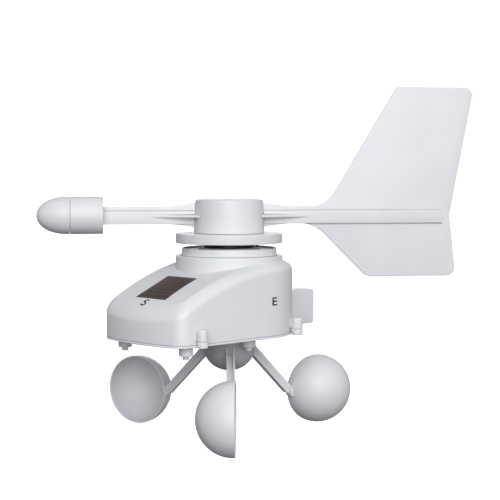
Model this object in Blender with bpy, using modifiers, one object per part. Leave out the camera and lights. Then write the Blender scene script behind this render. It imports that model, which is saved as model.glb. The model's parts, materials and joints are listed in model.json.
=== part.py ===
"""Outdoor wind sensor of a home weather station: a wind vane above a solar assisted
housing and a three-cup anemometer below it, all on one vertical turning axis.

Units are metres and +Z is up. The origin is the centre of the flat rear face of the
mounting block, which looks along +Y (north). The pieces are laid out from the sensor
frame, an empty on the turning axis at the height of the housing's underside.
"""
import math

import bmesh
import bpy
from mathutils import Vector

# ---------------------------------------------------------------- driving dimensions
AXIS_TO_MOUNT = 0.100       # turning axis to the rear mounting face
MOUNT_HEIGHT = 0.019        # centre of the rear mounting face above the underside
GAP = 0.0003                # gap kept between neighbouring pieces
PARTS = "wind_sensor"

# housing, plan view: a half round north end, tapering sides and a bowed south end
NORTH_RADIUS = 0.0587
SOUTH_END = 0.1145          # turning axis to the middle of the south end
SOUTH_BOW_RADIUS = 0.170
CORNER_RADIUS = 0.013
SIDE_TAPER = math.radians(3.1)

# housing, side view: a roof that is level at the north and falls to the south
BASE_THICKNESS = 0.0020
SHELL_BOTTOM = BASE_THICKNESS + GAP
ROOF_HEIGHT = 0.0688
ROOF_CREST_Y = 0.0186       # the roof is level north of here
ROOF_FALL = 2.26            # drop = ROOF_FALL * (distance south of the crest) ** 2
ROOF_EDGE_RADIUS = 0.009
WALL = 0.0025

TURRET_RADIUS = 0.0496
TURRET_TOP = 0.0728
TURRET_FOOT = 0.050
COLLAR_RADIUS = 0.0439
COLLAR_TOP = 0.0797
TUBE_RADIUS = 0.011         # both bearing housings
TUBE_HOLE = TUBE_RADIUS + GAP

# solar panel, let into the sloping roof
PANEL_CENTRE_Y = -0.0772
PANEL_LENGTH = 0.0415
PANEL_WIDTH = 0.0400
PANEL_THICKNESS = 0.0020
PANEL_SINK = 0.0010         # middle of the panel's face below the roof

# four screwed ears around the case
EARS = {"south_west": (-0.0592, -0.0887), "south_east": (0.0592, -0.0887),
        "north_west": (-0.0565, 0.0327), "north_east": (0.0565, 0.0327)}
EAR_RADIUS = 0.0047
EAR_SPLIT = 0.0056
EAR_TOP = 0.0158
EAR_CAP = 0.0010            # left over the end of the screw hole
SCREW_HOLE = 0.0018
HEAD_RECESS = 0.0034
HEAD_RECESS_DEPTH = 0.0021
EAR_REACH_SOUTH = 0.0085    # length of the web between an ear and the inside of the wall
EAR_REACH_NORTH = 0.0105
FEET = {"south_west": (-0.0410, -0.0913), "south_east": (0.0410, -0.0913),
        "north_west": (-0.0390, -0.0130), "north_east": (0.0390, -0.0130)}
FOOT_RADIUS = 0.0060
FOOT_STEM = 0.0025           # pushed up into the base
FOOT_STEM_TOP = 0.0032
FOOT_STEP = -0.0083
FOOT_BOTTOM = -0.0116
FOOT_NUB_RADIUS = 0.0029

# mounting block at the north end
BLOCK_HALF_WIDTH = 0.0165
BLOCK_LOW = 0.0022
BLOCK_HIGH = 0.0358
BLOCK_EDGE = 0.0030
PILOT_SPACING = 0.0115      # pilot holes sit this far from the middle, both ways
PILOT_RADIUS = 0.0016
MOUNT_HOLE = 0.0023

# circuit board between the two shafts
BOARD_LOW = 0.0400
BOARD_THICKNESS = 0.0016
BOARD_TOP = BOARD_LOW + BOARD_THICKNESS
BOARD_SIZE = (0.074, 0.066)
PILLAR_RADIUS = 0.0032
PILLAR_HOLE = 0.0015
PILLARS = [(-0.030, -0.026), (0.030, -0.026), (-0.030, 0.026), (0.030, 0.026)]

# battery bay in the underside
BAY_CENTRE_Y = -0.060
BAY_SIZE = (0.060, 0.044)
TAB_SIZE = (0.012, 0.010)
TAB_CENTRE_Y = BAY_CENTRE_Y - BAY_SIZE[1] / 2 - TAB_SIZE[1] / 2
TRAY_TOP = 0.0220
CELL_RADIUS = 0.00715
CELL_LENGTH = 0.0490
CELL_SPACING = 0.0172

# wind vane
RING_RADIUS = 0.0234        # black bearing ring seen under the vane
RING_TOP = 0.0839
HOOK_HEADINGS = (45, 165, 285)
HOOK_INNER = 0.0250
HOOK_OUTER = 0.0273
HOOK_WIDTH = 0.0050
HOOK_TOP = 0.0835
SHAFT_RADIUS = 0.0030
SHAFT_HOLE = SHAFT_RADIUS + GAP
SHAFT_PASS = 0.0040         # hole for the shaft in the end of a bearing housing
BEARING_RADIUS = 0.0080
BEARING_HEIGHT = 0.0050
VANE_HEADING = math.radians(53.4)
FLANGE_RADIUS = 0.0494
FLANGE_LOW = 0.0842
FLANGE_TOP = 0.0931
HUB_LOW = FLANGE_TOP + GAP
HUB_TOP = 0.1242
HUB_RADIUS_LOW = 0.0327
HUB_RADIUS_TOP = 0.0312
ARM_LOW = 0.1016
ARM_TOP = 0.1178
ARM_ROOT = HUB_RADIUS_LOW + GAP
ARM_ROOT_DEEPER = 0.0031    # the arm's plate is this much deeper, above and below, at the hub
ARM_FLARE = 0.0590          # distance from the axis where the arm starts to deepen
ARM_START = 0.0280          # inside the hub's outline; the hub clearance trims it
PLATE_THICKNESS = 0.0028    # the arm's web and the fin
BAR_WIDTH = 0.0070          # the raised bar along both arms
BAR_TOP = 0.1135
BAR_END = 0.2040
GROOVE_HEIGHT = 0.0009      # line cut into the plate along the bar
GROOVE_DEPTH = 0.0006
RAIL = 0.0027               # height of the rails above and below the bar's pockets
POCKET_DEPTH = 0.0017
POCKET_END = 0.0740
GUSSET_Z = 0.1089
GUSSET_THICKNESS = 0.0021
GUSSET_HALF_WIDTH = 0.0135
NOSE_CENTRE_Z = 0.1101
NOSE_RADIUS = 0.0171
NOSE_BACK = -0.1163
NOSE_SEAM = -0.1460
NOSE_TIP = -0.1763

# wind cups
ROTOR_HEADING = math.radians(-42)
DOME_RADIUS = 0.0248
DOME_CENTRE_Z = -0.0105
DOME_TOP = -0.0006
CUP_RADIUS = 0.0330
CUP_WALL = 0.0016
CUP_LIP = 0.0017
CUP_DISTANCE = 0.1012
CUP_HEIGHT = -0.0615
CUP_TURN_OUT = math.radians(4)
SPOKE_SIZE = 0.0078
SPOKE_WALL = 0.0016
SPOKE_TIP = 0.0056


# ---------------------------------------------------------------- scene and helpers
def clear_scene():
    for item in list(bpy.data.objects):
        bpy.data.objects.remove(item, do_unlink=True)


def new_collection(name):
    collection = bpy.data.collections.new(name)
    bpy.context.scene.collection.children.link(collection)
    return collection


def new_empty(name, collection, location=(0, 0, 0), turn=0.0, parent=None):
    empty = bpy.data.objects.new(name, None)
    empty.empty_display_size = 0.02
    empty.location = location
    empty.rotation_euler = (0, 0, turn)
    empty.parent = parent
    collection.objects.link(empty)
    return empty


def finish(name, colour, roughness, metallic=0.0):
    material = bpy.data.materials.new(name)
    material.use_nodes = True
    shader = material.node_tree.nodes["Principled BSDF"]
    shader.inputs["Base Color"].default_value = (*colour, 1.0)
    shader.inputs["Roughness"].default_value = roughness
    shader.inputs["Metallic"].default_value = metallic
    return material


CASE_GREY = (0.66, 0.67, 0.70)
VANE_GREY = (0.68, 0.69, 0.72)
BLACK = (0.012, 0.012, 0.014)
STEEL = (0.56, 0.57, 0.58)


def place(item, parent, colour=None, roughness=0.5, metallic=0.0, smooth=True):
    """Put a finished piece in the parts collection with a material of its own."""
    parts.objects.link(item)
    item.parent = parent
    item.data.materials.clear()
    item.data.materials.append(finish(item.name, colour, roughness, metallic))
    if smooth:
        item.data.shade_smooth()
        item.data.set_sharp_from_angle(angle=math.radians(35))
    return item


def mesh_object(name, bm):
    bmesh.ops.recalc_face_normals(bm, faces=bm.faces)
    mesh = bpy.data.meshes.new(name)
    bm.to_mesh(mesh)
    bm.free()
    return bpy.data.objects.new(name, mesh)


def cylinder(name, radius, low, high, at=(0.0, 0.0), segments=32):
    bm = bmesh.new()
    bmesh.ops.create_cone(bm, cap_ends=True, segments=segments, radius1=radius, radius2=radius,
                          depth=high - low)
    bmesh.ops.translate(bm, verts=bm.verts, vec=(at[0], at[1], (low + high) / 2))
    return mesh_object(name, bm)


def box(name, low, high):
    """A box between two opposite corners."""
    low, high = Vector(low), Vector(high)
    bm = bmesh.new()
    bmesh.ops.create_cube(bm, size=1.0)
    bmesh.ops.scale(bm, verts=bm.verts, vec=high - low)
    bmesh.ops.translate(bm, verts=bm.verts, vec=(low + high) / 2)
    return mesh_object(name, bm)


def sphere(name, radius, centre, segments=32):
    bm = bmesh.new()
    bmesh.ops.create_uvsphere(bm, u_segments=segments, v_segments=segments // 2, radius=radius)
    bmesh.ops.translate(bm, verts=bm.verts, vec=centre)
    return mesh_object(name, bm)


def turned(name, profile, segments=32, closed=False):
    """A piece turned about Z from (radius, height) points that run down its outer side."""
    mesh = bpy.data.meshes.new(name)
    count = len(profile)
    edges = [(i, i + 1) for i in range(count - 1)]
    if closed:
        edges.append((count - 1, 0))
    mesh.from_pydata([(r, 0.0, z) for r, z in profile], edges, [])
    item = bpy.data.objects.new(name, mesh)
    screw = item.modifiers.new("turn", "SCREW")
    screw.axis = "Z"
    screw.steps = segments
    screw.render_steps = segments
    screw.use_merge_vertices = True
    screw.merge_threshold = 0.00001
    screw.use_smooth_shade = True
    return item


def ring(name, inner, outer, low, high, segments=32):
    profile = [(inner, low), (inner, high), (outer, high), (outer, low)]
    return turned(name, profile, segments, closed=True)


def arc(cx, cy, radius, start, end, steps):
    """Points along an arc, both ends included; angles in radians."""
    angles = [start + (end - start) * i / steps for i in range(steps + 1)]
    return [(cx + radius * math.cos(a), cy + radius * math.sin(a)) for a in angles]


def rounded(corners, steps=5):
    """A closed outline from (x, y, radius) corners, each rounded to its own radius."""
    points = []
    count = len(corners)
    for i, (x, y, radius) in enumerate(corners):
        here = Vector((x, y))
        back = (Vector(corners[i - 1][:2]) - here).normalized()
        ahead = (Vector(corners[(i + 1) % count][:2]) - here).normalized()
        if radius == 0:
            points.append((x, y))
            continue
        half = back.angle(ahead) / 2
        centre = here + (back + ahead).normalized() * radius / math.sin(half)
        first = here + back * radius / math.tan(half) - centre
        last = here + ahead * radius / math.tan(half) - centre
        sweep = first.angle_signed(last)
        for step in range(steps + 1):
            turn = -sweep * step / steps
            spoke = (first.x * math.cos(turn) - first.y * math.sin(turn),
                     first.x * math.sin(turn) + first.y * math.cos(turn))
            points.append((centre.x + spoke[0], centre.y + spoke[1]))
    return points


def plate(name, outline, thickness, upright=False, offset=0.0):
    """A flat plate of the outline: lying in XY, or upright in XZ when upright is set."""
    curve = bpy.data.curves.new(name, "CURVE")
    curve.dimensions = "2D"
    curve.fill_mode = "BOTH"
    curve.extrude = thickness / 2
    spline = curve.splines.new("POLY")
    spline.points.add(len(outline) - 1)
    for point, (x, y) in zip(spline.points, outline):
        point.co = (x, y, 0, 1)
    spline.use_cyclic_u = True
    guide = bpy.data.objects.new(name + "_outline", curve)
    cutters.objects.link(guide)
    mesh = bpy.data.meshes.new_from_object(guide.evaluated_get(bpy.context.evaluated_depsgraph_get()))
    bpy.data.objects.remove(guide)
    bm = bmesh.new()
    bm.from_mesh(mesh)
    bpy.data.meshes.remove(mesh)
    bmesh.ops.remove_doubles(bm, verts=bm.verts, dist=0.00001)
    bmesh.ops.dissolve_degenerate(bm, edges=bm.edges, dist=0.000001)
    bmesh.ops.translate(bm, verts=bm.verts, vec=(0, 0, offset))
    if upright:
        for vert in bm.verts:
            vert.co = (vert.co.x, -vert.co.z, vert.co.y)
    return mesh_object(name, bm)


def combine(target, tool, operation):
    """Join or cut with a tool piece, which moves to the cutters collection."""
    cutters.objects.link(tool)
    tool.hide_render = True
    tool.display_type = "WIRE"
    modifier = target.modifiers.new(tool.name, "BOOLEAN")
    modifier.object = tool
    modifier.operation = operation
    modifier.solver = "EXACT"
    return tool


def cut(target, tool, frame):
    combine(target, tool, "DIFFERENCE").parent = frame


def join(target, tool, frame):
    combine(target, tool, "UNION").parent = frame


def soften(item, width, segments=2, angle=40):
    bevel = item.modifiers.new("soften", "BEVEL")
    bevel.width = width
    bevel.segments = segments
    bevel.limit_method = "ANGLE"
    bevel.angle_limit = math.radians(angle)


def screw_profile(low, length, shank, head, head_height):
    """A pan head screw standing on its head: the head is at the bottom, from low up."""
    top = low + head_height + length
    return [(0, top), (shank * 0.6, top), (shank, top - shank * 0.6), (shank, low + head_height),
            (head, low + head_height), (head, low + head_height * 0.4), (head * 0.8, low), (0, low)]


# ---------------------------------------------------------------- housing
def roof_height(y, drop=0.0):
    south = min(0.0, y - ROOF_CREST_Y)
    return ROOF_HEIGHT - drop - ROOF_FALL * south * south


def roof_slope(y):
    return math.atan(-2 * ROOF_FALL * (y - ROOF_CREST_Y))


def east_outline(inset):
    """East half of the plan outline, from the middle of the south end to the north end.

    The outline is made of three arcs that share their tangents, so an inset outline
    has the same centres and smaller radii.
    """
    bow_y = SOUTH_BOW_RADIUS - SOUTH_END
    cos_t, sin_t = math.cos(SIDE_TAPER), math.sin(SIDE_TAPER)
    reach = SOUTH_BOW_RADIUS - CORNER_RADIUS
    offset = NORTH_RADIUS - CORNER_RADIUS + sin_t * bow_y
    along = -math.sqrt(reach ** 2 - offset ** 2)
    corner_x = cos_t * offset + sin_t * along
    corner_y = bow_y - sin_t * offset + cos_t * along
    start = math.atan2(corner_y - bow_y, corner_x)
    south = arc(0, bow_y, SOUTH_BOW_RADIUS - inset, -math.pi / 2, start, 3)
    corner = arc(corner_x, corner_y, CORNER_RADIUS - inset, start, -SIDE_TAPER, 4)[1:]
    north = arc(0, 0, NORTH_RADIUS - inset, -SIDE_TAPER, math.pi / 2, 11)
    (x0, y0), (x1, y1) = corner[-1], north[0]
    side = [(x0 + (x1 - x0) * i / 5, y0 + (y1 - y0) * i / 5) for i in range(1, 5)]
    points = south + corner + side + north
    points[0] = (0.0, points[0][1])
    points[-1] = (0.0, points[-1][1])
    return points


def full_outline(inset):
    east = east_outline(inset)
    return east + [(-x, y) for x, y in reversed(east[1:-1])]


def close_across(bm, loop):
    """Close a ring of the outline with strips that run straight from east to west."""
    count = len(loop)
    half = count // 2
    for i in range(half):
        corners = [loop[i], loop[i + 1], loop[(count - i - 1) % count], loop[(count - i) % count]]
        face = list(dict.fromkeys(corners))
        bm.faces.new(face)


def housing_solid(name, inset, floor, drop, fillet_steps=3):
    """Rings of the plan outline from the floor up, rounded over under the roof."""
    fillet = ROOF_EDGE_RADIUS - inset
    bm = bmesh.new()
    loops = [[bm.verts.new((x, y, floor)) for x, y in full_outline(inset)]]
    for step in range(fillet_steps + 1):
        angle = math.pi / 2 * step / fillet_steps
        outline = full_outline(inset + fillet * (1 - math.cos(angle)))
        sink = fillet * (1 - math.sin(angle))
        loops.append([bm.verts.new((x, y, roof_height(y, drop) - sink)) for x, y in outline])
    for lower, upper in zip(loops, loops[1:]):
        for i in range(len(lower)):
            j = (i + 1) % len(lower)
            bm.faces.new((lower[i], lower[j], upper[j], upper[i]))
    close_across(bm, loops[0])
    close_across(bm, loops[-1])
    return mesh_object(name, bm)


def ear_web(name, x, y, low, high):
    """The web between an ear and the side wall."""
    inner = x - math.copysign(EAR_REACH_NORTH if y > 0 else EAR_REACH_SOUTH, x)
    return box(name, (min(inner, x), y - 0.0030, low), (max(inner, x), y + 0.0030, high))


def panel_box(name, length, width, low, high):
    """A box in the solar panel's own frame, which has its face at zero and lies along the roof."""
    item = box(name, (-width / 2, -length / 2, low), (width / 2, length / 2, high))
    item.location = (0, PANEL_CENTRE_Y, roof_height(PANEL_CENTRE_Y) - PANEL_SINK)
    item.rotation_euler = (roof_slope(PANEL_CENTRE_Y), 0, 0)
    return item


def build_housing_shell():
    shell = housing_solid("housing_shell", 0.0, SHELL_BOTTOM, 0.0)
    join(shell, cylinder("turret_outside", TURRET_RADIUS, TURRET_FOOT, TURRET_TOP, segments=48), frame)
    cut(shell, housing_solid("housing_cavity", WALL, -0.001, WALL), frame)
    cut(shell, cylinder("turret_cavity", TURRET_RADIUS - WALL, 0.020, TURRET_TOP - WALL, segments=48),
        frame)
    join(shell, panel_box("panel_pad", PANEL_LENGTH + 0.004, PANEL_WIDTH + 0.004,
                          -PANEL_THICKNESS - 0.0022, 0.0), frame)
    cut(shell, panel_box("panel_pocket", PANEL_LENGTH + 2 * GAP, PANEL_WIDTH + 2 * GAP,
                         -PANEL_THICKNESS - GAP, 0.006), frame)
    cut(shell, cylinder("turret_hole", TUBE_HOLE, 0.060, 0.080), frame)
    for side, (x, y) in EARS.items():
        join(shell, ear_web("shell_web_" + side, x, y, EAR_SPLIT + 0.0010, EAR_TOP - 0.0020), frame)
        join(shell, cylinder("shell_ear_" + side, EAR_RADIUS, EAR_SPLIT + GAP, EAR_TOP, (x, y), 16),
             frame)
        cut(shell, cylinder("shell_ear_hole_" + side, SCREW_HOLE, 0.0, EAR_TOP - EAR_CAP, (x, y), 8),
            frame)
    for name, z in MOUNT_SCREWS.items():
        hole = cylinder(name + "_hole", MOUNT_HOLE, -0.004, 0.004, segments=12)
        hole.location = (0, NORTH_RADIUS, z)
        hole.rotation_euler = (math.pi / 2, 0, 0)
        cut(shell, hole, frame)
    return place(shell, frame, CASE_GREY, 0.45)


def build_base_cover():
    base = plate("base_cover", full_outline(0.0), BASE_THICKNESS, offset=BASE_THICKNESS / 2)
    for side, (x, y) in EARS.items():
        join(base, ear_web("base_web_" + side, x, y, 0.0002, BASE_THICKNESS - 0.0002), frame)
        join(base, cylinder("base_ear_" + side, EAR_RADIUS, 0.0, EAR_SPLIT, (x, y), 16), frame)
        cut(base, cylinder("ear_hole_" + side, SCREW_HOLE, -0.001, 0.008, (x, y), 8), frame)
        cut(base, cylinder("ear_recess_" + side, HEAD_RECESS, -0.001, HEAD_RECESS_DEPTH, (x, y), 12), frame)
    for number, (x, y) in enumerate(PILLARS, 1):
        join(base, cylinder(f"pillar_{number}", PILLAR_RADIUS, 0.001, BOARD_LOW - GAP, (x, y), 8), frame)
        cut(base, cylinder(f"pillar_hole_{number}", PILLAR_HOLE, 0.030, 0.050, (x, y), 8), frame)
    for side, (x, y) in FEET.items():
        cut(base, cylinder("foot_hole_" + side, FOOT_STEM + GAP, -0.001, 0.004, (x, y), 12), frame)
    cut(base, cylinder("rotor_tube_hole", TUBE_HOLE, -0.001, 0.003), frame)
    for opening in bay_plates("bay_opening", GAP, 0.008, 0.0):
        cut(base, opening, frame)
    return place(base, frame, CASE_GREY, 0.5)


def rectangle(width, length, centre_y, radius):
    x, y = width / 2, length / 2
    corners = [(-x, -y, radius), (x, -y, radius), (x, y, radius), (-x, y, radius)]
    return [(px, py + centre_y) for px, py in rounded(corners, 3)]


def bay_plates(name, margin, thickness, middle):
    """The battery door's rectangle and its screw tab, both grown by a margin."""
    main = plate(name, rectangle(BAY_SIZE[0] + 2 * margin, BAY_SIZE[1] + 2 * margin, BAY_CENTRE_Y, 0.002),
                 thickness, offset=middle)
    tab = plate(name + "_tab", rectangle(TAB_SIZE[0] + 2 * margin, TAB_SIZE[1] + 0.004, TAB_CENTRE_Y
                                         + 0.002 - margin, 0.001), thickness * 0.98, offset=middle)
    return main, tab


def build_gasket():
    gasket = plate("case_gasket", full_outline(WALL + GAP), 0.0020,
                   offset=BASE_THICKNESS + GAP + 0.0010)
    cut(gasket, plate("gasket_inside", full_outline(WALL + GAP + 0.0018), 0.010), frame)
    return place(gasket, frame, (0.05, 0.05, 0.055), 0.8)


def build_solar_panel():
    panel = panel_box("solar_panel", PANEL_LENGTH, PANEL_WIDTH, -PANEL_THICKNESS, 0.0)
    soften(panel, 0.0004, 1)
    return place(panel, frame, (0.030, 0.016, 0.012), 0.2, smooth=False)


def build_feet():
    for side, (x, y) in FEET.items():
        foot = turned("foot_" + side, [(0, FOOT_STEM_TOP), (FOOT_STEM, FOOT_STEM_TOP), (FOOT_STEM, -GAP),
                                       (FOOT_RADIUS + 0.0003, -GAP), (FOOT_RADIUS, FOOT_STEP),
                                       (FOOT_NUB_RADIUS, FOOT_STEP - 0.0002),
                                       (FOOT_NUB_RADIUS, FOOT_BOTTOM), (0, FOOT_BOTTOM)], 12)
        foot.location = (x, y, 0)
        place(foot, frame, CASE_GREY, 0.55)


def build_case_screws():
    for side, (x, y) in EARS.items():
        screw = turned("case_screw_" + side, screw_profile(0.0002, 0.0125, 0.0015, 0.0031, 0.0016), 8)
        screw.location = (x, y, 0)
        place(screw, frame, STEEL, 0.3, 1.0)


# ---------------------------------------------------------------- mounting block
MOUNT_SCREWS = {"mount_screw_low": 0.0110, "mount_screw_high": 0.0270}


def build_mount_block():
    corners = [(0.040, BLOCK_LOW, 0), (AXIS_TO_MOUNT, BLOCK_LOW, BLOCK_EDGE),
               (AXIS_TO_MOUNT, BLOCK_HIGH, BLOCK_EDGE), (0.040, BLOCK_HIGH, 0)]
    block = plate("mount_block", rounded(corners, 4), 2 * BLOCK_HALF_WIDTH, upright=True)
    for vert in block.data.vertices:
        vert.co = (-vert.co.y, vert.co.x, vert.co.z)
    soften(block, 0.0016)
    cut(block, cylinder("block_seat", NORTH_RADIUS + GAP, -0.01, 0.06, segments=96), frame)
    for name, z in MOUNT_SCREWS.items():
        hole = cylinder(name + "_socket", MOUNT_HOLE, -0.021, 0.01, segments=12)
        hole.location = (0, NORTH_RADIUS, z)
        hole.rotation_euler = (math.pi / 2, 0, 0)
        cut(block, hole, frame)
    for x in (-PILOT_SPACING, PILOT_SPACING):
        for z in (MOUNT_HEIGHT - PILOT_SPACING, MOUNT_HEIGHT + PILOT_SPACING):
            hole = cylinder(f"pilot_{x}_{z}", PILOT_RADIUS, -0.001, 0.012, segments=12)
            hole.location = (x, AXIS_TO_MOUNT, z)
            hole.rotation_euler = (math.pi / 2, 0, 0)
            cut(block, hole, frame)
    return place(block, frame, CASE_GREY, 0.5)


def build_mount_screws():
    for name, z in MOUNT_SCREWS.items():
        screw = turned(name, screw_profile(0.0, 0.0200, 0.0020, 0.0038, 0.0020), 8)
        screw.location = (0, NORTH_RADIUS - WALL - GAP - 0.0020 - 0.0004, z)
        screw.rotation_euler = (-math.pi / 2, 0, 0)
        place(screw, frame, STEEL, 0.3, 1.0)


# ---------------------------------------------------------------- inside the housing
def build_bearings():
    foot = COLLAR_TOP + GAP
    bore = BEARING_RADIUS + GAP
    outer = [(bore, RING_TOP), (RING_RADIUS, RING_TOP), (RING_RADIUS, foot), (TUBE_RADIUS, foot),
             (TUBE_RADIUS, 0.0460), (SHAFT_PASS, 0.0460), (SHAFT_PASS, 0.0480), (bore, 0.0480)]
    housing = turned("vane_bearing_housing", outer, 32, closed=True)
    low, web, start = foot + 0.0001, foot + 0.0010, RING_RADIUS - 0.0010
    hook = [(start, low), (HOOK_OUTER, low), (HOOK_OUTER, HOOK_TOP), (HOOK_INNER, HOOK_TOP),
            (HOOK_INNER, web), (start, web)]
    for number, heading in enumerate(HOOK_HEADINGS, 1):
        item = plate(f"hook_{number}", hook, HOOK_WIDTH, upright=True)
        item.rotation_euler = (0, 0, math.radians(heading))
        join(housing, item, frame)
    place(housing, frame, BLACK, 0.5)
    lower = [(bore, 0.0360), (TUBE_RADIUS, 0.0360), (TUBE_RADIUS, 0.0046), (0.0165, 0.0046),
             (0.0165, 0.0023), (TUBE_RADIUS, 0.0023), (TUBE_RADIUS, GAP), (SHAFT_PASS, GAP),
             (SHAFT_PASS, 0.0020), (bore, 0.0020)]
    place(turned("rotor_bearing_housing", lower, 24, closed=True), frame, BLACK, 0.5)
    seats = {"vane_bearing_upper": 0.0780, "vane_bearing_lower": 0.0483,
             "rotor_bearing_upper": 0.0305, "rotor_bearing_lower": 0.0023}
    for name, low in seats.items():
        place(ring(name, SHAFT_HOLE, BEARING_RADIUS, low, low + BEARING_HEIGHT, 16), frame, STEEL, 0.25, 1.0)


def build_collar():
    collar = [(TUBE_HOLE, 0.0772), (TUBE_HOLE, COLLAR_TOP), (COLLAR_RADIUS - 0.0010, COLLAR_TOP),
              (COLLAR_RADIUS, COLLAR_TOP - 0.0010), (COLLAR_RADIUS + 0.0002, 0.0750),
              (COLLAR_RADIUS + 0.0012, TURRET_TOP + GAP), (COLLAR_RADIUS - 0.0025, TURRET_TOP + GAP),
              (COLLAR_RADIUS - 0.0025, 0.0772)]
    place(turned("turret_collar", collar, 40, closed=True), frame, CASE_GREY, 0.45)


def build_circuit_board():
    x, y = BOARD_SIZE[0] / 2, BOARD_SIZE[1] / 2
    outline = rounded([(-x, -y, 0.003), (x, -y, 0.003), (x, y, 0.003), (-x, y, 0.003)], 3)
    board = plate("circuit_board", outline, BOARD_THICKNESS, offset=BOARD_LOW + BOARD_THICKNESS / 2)
    for number, (px, py) in enumerate(PILLARS, 1):
        cut(board, cylinder(f"board_hole_{number}", 0.0015, 0.030, 0.050, (px, py), 8), frame)
        profile = [(0, 0.0434), (0.0020, 0.0434), (0.0028, 0.0426), (0.0028, BOARD_TOP + GAP),
                   (0.0012, BOARD_TOP + GAP), (0.0012, 0.0350), (0, 0.0340)]
        screw = turned(f"board_screw_{number}", profile, 8)
        screw.location = (px, py, 0)
        place(screw, frame, STEEL, 0.3, 1.0)
    place(board, frame, (0.02, 0.12, 0.05), 0.5, smooth=False)
    chips = {"vane_sensor_chip": (0.0, 0.0, BOARD_TOP + GAP, 0.0010),
             "radio_module": (0.0, 0.024, BOARD_TOP + GAP, 0.0022)}
    sizes = {"vane_sensor_chip": 0.0050, "radio_module": 0.0150}
    for name, (cx, cy, low, height) in chips.items():
        half = sizes[name] / 2
        chip = box(name, (cx - half, cy - half, low), (cx + half, cy + half, low + height))
        place(chip, frame, BLACK, 0.4, smooth=False)
    rotor_chip = box("rotor_sensor_chip", (0.0105, -0.0025, BOARD_LOW - GAP - 0.0012),
                     (0.0155, 0.0025, BOARD_LOW - GAP))
    place(rotor_chip, frame, BLACK, 0.4, smooth=False)


def build_antenna():
    """A stiff wire that rises from the radio module and curls around inside the turret."""
    curve = bpy.data.curves.new("antenna", "CURVE")
    curve.dimensions = "3D"
    curve.bevel_depth = 0.0007
    curve.bevel_resolution = 1
    curve.use_fill_caps = True
    foot = [(0.0, 0.0335, BOARD_TOP + GAP + 0.0026), (0.0, 0.0350, 0.0480)]
    curl = [(x, y, 0.0520) for x, y in arc(0, 0, 0.0365, math.radians(95), math.radians(250), 14)]
    spline = curve.splines.new("POLY")
    spline.points.add(len(foot + curl) - 1)
    for point, co in zip(spline.points, foot + curl):
        point.co = (*co, 1)
    place_curve("antenna", curve, frame, (0.62, 0.34, 0.16), 0.3, 1.0)


def place_curve(name, curve, parent, colour, roughness, metallic):
    item = bpy.data.objects.new(name, curve)
    parts.objects.link(item)
    item.parent = parent
    curve.materials.append(finish(name, colour, roughness, metallic))


def build_battery_bay():
    x, y = BAY_SIZE[0] / 2 + 0.003, BAY_SIZE[1] / 2 + 0.003
    tray = box("battery_tray", (-x, BAY_CENTRE_Y - y, SHELL_BOTTOM), (x, BAY_CENTRE_Y + y, TRAY_TOP))
    join(tray, cylinder("tray_boss", 0.0042, SHELL_BOTTOM, 0.0150, (0, TAB_CENTRE_Y), 16), frame)
    cut(tray, box("tray_inside", (-x + 0.0016, BAY_CENTRE_Y - y + 0.0016, 0.0),
                  (x - 0.0016, BAY_CENTRE_Y + y - 0.0016, TRAY_TOP - 0.0016)), frame)
    cut(tray, cylinder("tray_boss_hole", 0.0018, 0.0, 0.0125, (0, TAB_CENTRE_Y), 12), frame)
    place(tray, frame, (0.10, 0.10, 0.11), 0.6, smooth=False)

    door, tab = bay_plates("battery_door", 0.0, 0.0017, 0.00085)
    join(door, tab, frame)
    cut(door, cylinder("door_hole", 0.0018, -0.001, 0.003, (0, TAB_CENTRE_Y), 12), frame)
    place(door, frame, CASE_GREY, 0.5, smooth=False)

    screw = turned("battery_door_screw", screw_profile(-0.0019, 0.0120, 0.0015, 0.0030, 0.0016), 12)
    screw.location = (0, TAB_CENTRE_Y, 0)
    place(screw, frame, STEEL, 0.3, 1.0)

    for number, side in enumerate((-1, 1), 1):
        cell = turned(f"battery_cell_{number}",
                      [(0, CELL_LENGTH / 2 + 0.0010), (0.0027, CELL_LENGTH / 2 + 0.0010),
                       (0.0027, CELL_LENGTH / 2), (CELL_RADIUS - 0.0005, CELL_LENGTH / 2),
                       (CELL_RADIUS, CELL_LENGTH / 2 - 0.0005), (CELL_RADIUS, -CELL_LENGTH / 2),
                       (0, -CELL_LENGTH / 2)], 20)
        cell.location = (0, BAY_CENTRE_Y + side * CELL_SPACING / 2, 0.0115)
        cell.rotation_euler = (0, side * math.pi / 2, 0)
        place(cell, frame, (0.10, 0.16, 0.10), 0.35, 0.3)
        contact_x = side * (x - 0.0016 - GAP - 0.0003)
        contact = box(f"battery_contact_{number}", (contact_x - 0.0003, BAY_CENTRE_Y - 0.0150, 0.0060),
                      (contact_x + 0.0003, BAY_CENTRE_Y + 0.0150, 0.0170))
        place(contact, frame, (0.70, 0.66, 0.56), 0.3, 1.0, smooth=False)


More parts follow.
